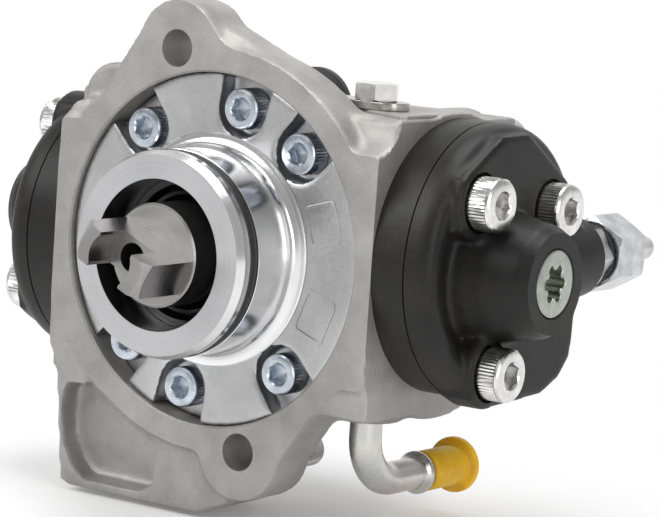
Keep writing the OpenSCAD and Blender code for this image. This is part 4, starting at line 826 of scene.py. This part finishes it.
head_skin = cast_metal("head_phosphate", [(0.34, (0.0075, 0.0068, 0.0068)),
                                          (0.5, (0.013, 0.012, 0.0115)),
                                          (0.66, (0.024, 0.022, 0.020))], 0.42, 0.16, 1300.0, 60.0,
                       metallic=0.0)
head_skin.node_tree.nodes["Principled BSDF"].inputs["Specular IOR Level"].default_value = 0.28
left_head = half_turned(head, "head_casting_left")
crisp(left_head, 30)
finish_piece(head, head_skin, "head_steel", "cylinder_head_right")
finish_piece(left_head, head_skin, "head_steel", "cylinder_head_left")


# Head screws: six M8 socket head screws of bright plated steel with knurled heads, three to a head,
# screwed through the heads into the housing.
bright_plate = plated("bright_plate", (0.66, 0.655, 0.645), (0.90, 0.895, 0.88), 0.2)
places = []
for number, (y, z) in enumerate(head_screw_spots):
    places.append(along((1, 0, 0), (head_seat, y, z)) @ Matrix.Rotation(0.3 + 0.9 * number, 4, "Z"))
right_screws = repeat(socket_head(6.5, 8.0, 6.0, 3.95, 28.0, 50), "head_screws_bright", places)
left_screws = half_turned(right_screws, "head_screws_bright_left")
for screws, node in ((right_screws, "head_screws_right"), (left_screws, "head_screws_left")):
    crisp(screws, 24, False)
    finish_piece(screws, bright_plate, "bright_screw", node)


# Head plugs: turned steel plugs with a six-lobed socket, plated pale green, that close the boss of
# each head over its inlet valve. The left head's outlet is closed by a plug with a hexagon socket.
def hexagon(middle, across, turn=0):
    corner = across / math.sqrt(3)
    return [polar(corner, 60 * k + turn, middle) for k in range(6)]


plug = turned_piece("head_plug_plated",
                    [(0, 71.65), (8.2, 71.65), (8.2, 79.0), (8.05, 79.4), (7.7, 79.6), (0, 79.6)],
                    on_x(plunger_at, 0), 96)
carve(plug, add_turned, [(0, 76.2), (3.3, 76.2), (3.3, 79.3), (3.75, 79.8), (3.75, 82), (0, 82)],
      on_x(plunger_at, 0), 48)
for k in range(6):
    y, z = polar(3.5, 60 * k, (plunger_at, 0))
    carve(plug, add_turned,
          [(0, 76.2), (1.25, 76.2), (1.25, 79.35), (1.6, 79.8), (1.6, 82), (0, 82)], on_x(y, z), 24)
crisp(plug, 30)
left_plug = half_turned(plug, "head_plug_plated_left")
crisp(left_plug, 30)
plug_plate = plated("plug_plate", (0.32, 0.345, 0.31), (0.50, 0.53, 0.475), 0.3)
finish_piece(plug, plug_plate, "plug_steel", "head_plug_right")
finish_piece(left_plug, plug_plate, "plug_steel", "head_plug_left")
blind = turned_piece("delivery_plug_plated", [(0, 58.1), (5.8, 58.1), (6.2, 58.5), (6.2, 70.05),
                                              (8.8, 70.05), (9.0, 70.3), (9.0, 73.4), (8.7, 73.85),
                                              (8.3, 74.0), (0, 74.0)], on_y(-outlet_x, -outlet_z),
                     96)
carve(blind, add_slab, hexagon((-outlet_x, -outlet_z), 6), 69, 76)
carve(blind, add_turned, [(0, 72.9), (3.0, 72.9), (4.2, 74.1), (4.2, 75), (0, 75)],
      on_y(-outlet_x, -outlet_z), 48)
carve(blind, add_rod, (-outlet_x, 57, -outlet_z), (-outlet_x, 60, -outlet_z), 2.5, sides=32)
crisp(blind, 30)
finish_piece(blind, plug_plate, "plug_steel", "delivery_plug_left")


# High-pressure outlet: a zinc-plated steel union with a narrow hexagon, screwed into the right
# head, a black ring, and a cap nut that holds a blanking stub on the union's cone.
def hexagon_bar(middle, across, start, end, chamfer, turn=0):
    """A hexagonal bar along +Y with its corners turned off at both ends."""
    bar_shape = new_shape()
    add_slab(bar_shape, hexagon(middle, across, turn), start, end)
    bar = piece("bar", bar_shape)
    lead = new_shape()
    corner = across / math.sqrt(3)
    add_turned(lead, [(0, start - 0.1), (corner - chamfer, start),
                      (corner + 0.05, start + 0.55 * chamfer),
                      (corner + 0.05, end - 0.55 * chamfer), (corner - chamfer, end),
                      (0, end + 0.1)], on_y(middle[0], middle[1]), 96)
    machine(bar, lead, "INTERSECT")
    return break_edges(bar, 0.18, 25, 2)


outlet_axis = on_y(outlet_x, outlet_z)
union = hexagon_bar((outlet_x, outlet_z), 14, 70.02, 78.5, 1.0)
carve(union, add_turned, [(0, 58.1), (5.8, 58.1), (6.2, 58.5), (6.2, 70.2), (0, 70.2)], outlet_axis,
      64, how="UNION")
carve(union, add_turned, [(0, 78.3), (5.6, 78.3), (5.6, 85.2), (5.2, 85.6), (0, 85.6)], outlet_axis,
      64, how="UNION")
carve(union, add_turned,
      [(0, 57), (2.5, 57), (2.5, 60), (1.4, 60), (1.4, 82.6), (4.0, 85.65), (4.0, 88), (0, 88)],
      outlet_axis, 48)
crisp(union, 30)
zinc_silver = plated("zinc_silver", (0.46, 0.48, 0.50), (0.72, 0.74, 0.76), 0.26)
finish_piece(union, zinc_silver, "union_steel", "outlet_union")
ring = turned_piece("outlet_ring_rubber", [(5.7, 78.65), (7.3, 78.65), (7.55, 78.9), (7.55, 79.6),
                                           (7.3, 79.85), (5.7, 79.85)], outlet_axis, 72)
crisp(ring, 50, False)
finish_piece(ring, seal_rubber, "seal_rubber", "outlet_ring")
nut = hexagon_bar((outlet_x, outlet_z), 17, 80.0, 93.0, 1.5, 30)
carve(nut, add_turned, [(0, 78), (6.2, 78), (6.2, 80.1), (5.65, 80.7), (5.65, 90), (3.15, 90),
                        (3.15, 92.6), (3.7, 93.2), (3.7, 95), (0, 95)], outlet_axis, 64)
crisp(nut, 30)
finish_piece(nut, zinc_silver, "union_steel", "outlet_cap_nut")
stub = turned_piece("outlet_stub_steel", [(0, 84.7), (1.8, 84.7), (3.85, 86.6), (5.2, 86.6),
                                          (5.2, 89.9), (3.0, 89.9), (3.0, 107.0), (2.85, 107.6),
                                          (2.4, 108.0), (1.2, 108.0), (0.9, 107.6), (0, 107.5)],
                    outlet_axis, 48)
crisp(stub, 30, False)
finish_piece(stub, plated("stub_plate", (0.50, 0.50, 0.49), (0.74, 0.73, 0.71), 0.24),
             "union_steel", "outlet_stub")


# Return pipe: a thin-walled steel tube bent to a right angle, pressed into the housing's boss,
# with a rolled bead for its hose. Its plating is satin with a faint rainbow sheen.
bend_y, bend_z = 32.0, -42.0


def ring_step(shape, ring, shift, middle, scale=1.0):
    made = bmesh.ops.extrude_edge_only(shape, edges=ring)["geom"]
    verts = [g for g in made if isinstance(g, bmesh.types.BMVert)]
    bmesh.ops.translate(shape, verts=verts, vec=Vector(shift) * MM)
    spot = Vector(middle) * MM
    bmesh.ops.scale(shape, verts=verts, vec=(scale, scale, scale), space=Matrix.Translation(-spot))
    return [g for g in made
            if isinstance(g, bmesh.types.BMEdge) and all(v in verts for v in g.verts)]


shape = new_shape()
bmesh.ops.create_circle(shape, cap_ends=True, segments=48, radius=4.0 * MM,
                        matrix=Matrix.Translation(Vector((pipe_x, pipe_y, -28.8)) * MM))
ring_edges = list(shape.edges)
ring_edges = ring_step(shape, ring_edges, (0, 0, bend_z + 28.8), (pipe_x, pipe_y, bend_z))
turned = bmesh.ops.spin(shape, geom=ring_edges, cent=Vector((pipe_x, bend_y, bend_z)) * MM,
                        axis=(1, 0, 0), angle=math.radians(90), steps=24,
                        use_merge=False)["geom_last"]
ring_edges = [g for g in turned if isinstance(g, bmesh.types.BMEdge)]
reach, wide = bend_y, 4.0
for at, radius in ((41.3, 4.0), (42.2, 4.5), (42.7, 5.1), (43.2, 5.4), (43.8, 5.4), (44.3, 5.1),
                   (44.8, 4.5), (45.7, 4.0), (53.6, 4.0), (54.0, 3.8), (54.0, 3.2), (53.6, 3.0),
                   (34.0, 3.0)):
    ring_edges = ring_step(shape, ring_edges, (0, at - reach, 0), (pipe_x, at, pipe_low),
                           radius / wide)
    reach, wide = at, radius
bmesh.ops.contextual_create(shape, geom=ring_edges)
bmesh.ops.recalc_face_normals(shape, faces=shape.faces)
pipe = piece("return_pipe_tube", shape)
crisp(pipe, 40)
pipe_mat, tree, skin, spot = new_material("pipe_satin")
cloud = noise(tree, spot, 55.0, 2.5)
tree.links.new(ramp(tree, cloud, [(0.34, (0.56, 0.49, 0.51)), (0.48, (0.64, 0.62, 0.60)),
                                  (0.6, (0.60, 0.61, 0.585)), (0.7, (0.70, 0.66, 0.60))]),
               skin.inputs["Base Color"])
fine = noise(tree, spot, 1800.0, 3.0)
set_gloss(tree, skin, fine, 0.25, 0.38)
set_relief(tree, skin, fine, 0.08)
skin.inputs["Metallic"].default_value = 1.0
finish_piece(pipe, pipe_mat, "pipe_steel", "return_pipe")


# Pipe cap: a soft moulded polyethylene cap, yellow and slightly translucent, pushed over the
# end of the return pipe up to its bead.
cap = turned_piece("pipe_cap_moulded", [(4.07, 46.1), (4.9, 46.1), (5.1, 46.4), (5.1, 58.9),
                                        (5.25, 59.4), (5.7, 59.8), (6.7, 59.9), (7.0, 60.1),
                                        (7.1, 60.6), (7.1, 61.5), (6.95, 61.9), (6.6, 62.1),
                                        (3.6, 62.1), (3.3, 61.8), (0, 61.8), (0, 60.7),
                                        (4.07, 60.7)], on_y(pipe_x, pipe_low), 72)
crisp(cap, 40, False)
cap_mat, tree, skin, spot = new_material("cap_yellow")
tree.links.new(ramp(tree, noise(tree, spot, 160.0, 4.0),
                    [(0.35, (0.78, 0.42, 0.008)), (0.65, (0.92, 0.56, 0.016))]),
               skin.inputs["Base Color"])
set_relief(tree, skin, noise(tree, spot, 900.0, 3.0), 0.12)
skin.inputs["Roughness"].default_value = 0.36
skin.inputs["Subsurface Weight"].default_value = 0.3
skin.inputs["Subsurface Radius"].default_value = (1.0, 0.6, 0.1)
skin.inputs["Subsurface Scale"].default_value = 0.002
finish_piece(cap, cap_mat, "cap_plastic", "pipe_cap", body="cap")


# Clamp: a strip of plated steel sheet with a rounded end that lies flat on the housing's top pad,
# and the M6 hexagon bolt that holds it.
shape = new_shape()
strip_half = 4.78
outline = [(clamp_x - 16, clamp_y + strip_half), (clamp_x - 16, clamp_y - strip_half)]
outline += [polar(strip_half, 7.5 * i - 90, (clamp_x + 4, clamp_y)) for i in range(25)]
add_slab(shape, outline, pad_top + 0.03, pad_top + 2.0, axis="Z")
clamp = break_edges(piece("clamp_strip", shape), 0.3, 30, 2)
carve(clamp, add_rod, (clamp_x, clamp_y, pad_top - 2), (clamp_x, clamp_y, pad_top + 4), 3.2,
      sides=48)
crisp(clamp, 30)
strip_plate = plated("strip_plate", (0.40, 0.385, 0.36), (0.62, 0.60, 0.565), 0.3)
finish_piece(clamp, strip_plate, "bright_screw", "top_clamp")
bolt = hexagon_bar((0, 0), 10, 0.0, 4.2, 0.8)
bolt.data.transform(Matrix.Rotation(math.radians(90), 4, "X"))
carve(bolt, add_rod, (0, 0, -10.5), (0, 0, 0.4), 2.95, sides=48, how="UNION")
bolt.data.transform(Matrix.Translation(Vector((clamp_x, clamp_y, pad_top + 2.02)) * MM))
crisp(bolt, 30)
finish_piece(bolt, bright_plate, "bright_screw", "top_bolt")


# Rear cover: a small aluminium casting with a domed middle and the fuel inlet's spigot, held over
# the feed pump by six M5 socket head screws.
shape = new_shape()
add_turned(shape, [(0, rear_at - 1), (30.6, rear_at - 1), (30.6, rear_at + 5.6),
                   (20.2, rear_at + 5.6), (18.4, rear_at + 8.4), (17, rear_at + 9.1),
                   (0, rear_at + 9.1)], on_y(), 128)
add_rod(shape, (0, rear_at + 2, -12), (0, rear_at + 17, -12), 7.7, sides=64)
rear_cover = cast(piece("rear_cover_casting", shape), 0.6, 5)
carve(rear_cover, add_block, (-60, rear_at - 10, -60), (60, rear_at + 0.02, 60))
carve(rear_cover, add_block, (-20, rear_at + 16, -30), (20, rear_at + 30, 10))
cut = new_shape()
add_turned(cut, [(0, rear_at + 3), (4.2, rear_at + 3), (4.2, rear_at + 15.4), (4.9, rear_at + 16.1),
                 (4.9, rear_at + 20), (0, rear_at + 20)], on_y(0, -12), 64)
for turn in rear_screw_turns:
    add_turned(cut, [(0, rear_at - 2), (2.8, rear_at - 2), (2.8, rear_at + 5.4),
                     (4.9, rear_at + 5.4), (4.9, rear_at + 12), (0, rear_at + 12)],
               on_y(*polar(rear_screw_circle, turn)), 40)
add_rod(cut, (0, rear_at - 2, 0), (0, rear_at + 2, 0), 5.6, sides=40)
machine(rear_cover, cut)
crisp(rear_cover, 30)
finish_piece(rear_cover, housing_skin, "cast_aluminium", "rear_cover")
places = []
for number, turn in enumerate(rear_screw_turns):
    x, z = polar(rear_screw_circle, turn)
    places.append(along((0, 1, 0), (x, rear_at + 5.42, z)) @ Matrix.Rotation(0.5 * number, 4, "Z"))
rear_screws = repeat(socket_head(4.2, 4.0, 4.0, 2.45, 12.0, 34), "rear_screws_zinc", places)
crisp(rear_screws, 24, False)
finish_piece(rear_screws, zinc_blue, "zinc_screw", "rear_cover_screws")


# Metering valve: a turned steel sleeve with a two-eared flange at the upper left of the rear
# face, held by two M4 screws. A black moulded coil with a socket for the wiring sits behind it.
def from_cad(name, node, bevel, degrees=35):
    """A copy of a construction mesh with its flat faces joined and its edges broken."""
    source = bpy.data.objects[node]
    shape = new_shape()
    shape.from_mesh(source.data)
    bmesh.ops.transform(shape, matrix=source.matrix_world, verts=shape.verts)
    bmesh.ops.remove_doubles(shape, verts=shape.verts, dist=1e-6)
    bmesh.ops.dissolve_limit(shape, angle_limit=math.radians(0.5), verts=shape.verts,
                             edges=shape.edges)
    bmesh.ops.recalc_face_normals(shape, faces=shape.faces)
    copy = break_edges(piece(name, shape), bevel, degrees, 2)
    return crisp(copy, 35)


sleeve_steel = turned_metal("sleeve_steel", (0.42, 0.42, 0.42), (0.60, 0.60, 0.60), 0.28,
                            (valve_spot[0], 0, valve_spot[1]))
sleeve = from_cad("valve_sleeve_steel", "valve_sleeve", 0.25)
finish_piece(sleeve, sleeve_steel, "union_steel", "valve_sleeve")


def moulded(name, dark, light, rough):
    mat, tree, skin, spot = new_material(name)
    fine = noise(tree, spot, 900.0, 5.0, 0.6)
    broad = noise(tree, spot, 60.0, 3.0)
    tree.links.new(ramp(tree, mixed(tree, 0.5, fine, broad), [(0.36, dark), (0.64, light)]),
                   skin.inputs["Base Color"])
    set_gloss(tree, skin, broad, rough - 0.06, rough + 0.06)
    set_relief(tree, skin, fine, 0.15)
    return mat


black_plastic = moulded("black_plastic", (0.014, 0.014, 0.015), (0.030, 0.030, 0.032), 0.42)
coil = from_cad("valve_coil_moulded", "valve_coil", 0.4)
finish_piece(coil, black_plastic, "coil_plastic", "valve_coil")
places = []
for turn in ear_turns:
    x, z = polar(ear_reach, turn, valve_spot)
    places.append(along((0, 1, 0), (x, rear_at + 3.02, z)))
valve_screws = repeat(socket_head(3.4, 2.6, 3.0, 1.95, 10.0, 30), "valve_screws_zinc", places)
crisp(valve_screws, 24, False)
finish_piece(valve_screws, zinc_blue, "zinc_screw", "valve_screws")


# Temperature sensor: a turned steel body with a hexagon and a hollow collar for its plug,
# screwed into the upper right of the rear face.
sensor = from_cad("temperature_sensor_body", "temperature_sensor", 0.3)
finish_piece(sensor, zinc_silver, "union_steel", "temperature_sensor")


# Pressure regulator: a sprung piston in a bore below the cam chamber, closed by a dark steel plug
# with a knurled end behind the skirt.
plug_steps = 84
shape = new_shape()
add_turned(shape, [(0, 33.1), (3.3, 33.1), (3.6, 33.4), (3.6, 40.02), (4.1, 40.02), (4.3, 40.2),
                   (4.3, 41.2), (4.0, 41.5), (4.0, 42.1), (4.3, 42.4), (4.3, 48.8), (4.15, 49.2),
                   (3.8, 49.5), (0, 49.5)], on_y(plug_x, plug_z), plug_steps)
for vert in shape.verts:
    if 42.3 * MM < vert.co.y < 48.9 * MM:
        x, z = vert.co.x / MM - plug_x, vert.co.z / MM - plug_z
        if round(math.atan2(z, x) / math.tau * plug_steps) % 2:
            vert.co.x, vert.co.z = (plug_x + 0.94 * x) * MM, (plug_z + 0.94 * z) * MM
regulator = piece("regulator_plug_knurled", shape)
crisp(regulator, 24, False)
dark_steel = turned_metal("dark_steel", (0.36, 0.35, 0.345), (0.52, 0.51, 0.50), 0.3,
                          (plug_x, 0, plug_z))
finish_piece(regulator, dark_steel, "shaft_steel", "regulator_plug")


# Bearings: three plain bronze bushes, pressed into the cover, the housing and the ring cam,
# with the dull brown of oiled bronze.
bronze = turned_metal("bearing_bronze", (0.40, 0.27, 0.13), (0.56, 0.40, 0.21), 0.34)
wear_finish(bronze, "front_bush", "rear_bush", "ring_cam_bush")


# Running gear: the ring cam, the plungers with their spring seats, and the feed pump's rotors and
# wear plate are ground hardened steel. The ball and disc valves of the heads are polished.
ground_steel = turned_metal("ground_steel", (0.40, 0.395, 0.39), (0.58, 0.575, 0.57), 0.22,
                            (0, 31, 0), (1, 0, 0))
wear_finish(ground_steel, "plunger_right", "plunger_left", "plunger_seat_right",
            "plunger_seat_left", "suction_seat_right", "suction_seat_left", "suction_valve_right",
            "suction_valve_left")
milled_steel = turned_metal("milled_steel", (0.22, 0.215, 0.21), (0.36, 0.355, 0.35), 0.3)
wear_finish(milled_steel, "ring_cam", "feed_inner_rotor", "feed_outer_rotor", "feed_plate")
polished_steel = plated("polished_steel", (0.55, 0.55, 0.56), (0.72, 0.72, 0.73), 0.14)
wear_finish(polished_steel, "delivery_ball_right", "delivery_ball_left", "valve_needle",
            "regulator_piston")


# Springs: wound from drawn steel wire with a dark oiled skin; they press on the plungers' seats,
# the valves, the needle and the regulator's piston.
spring_wire = plated("spring_wire", (0.16, 0.155, 0.15), (0.34, 0.33, 0.32), 0.3)
wear_finish(spring_wire, "plunger_spring_right", "plunger_spring_left", "suction_spring_right",
            "suction_spring_left", "delivery_spring_right", "delivery_spring_left", "valve_spring",
            "regulator_spring")
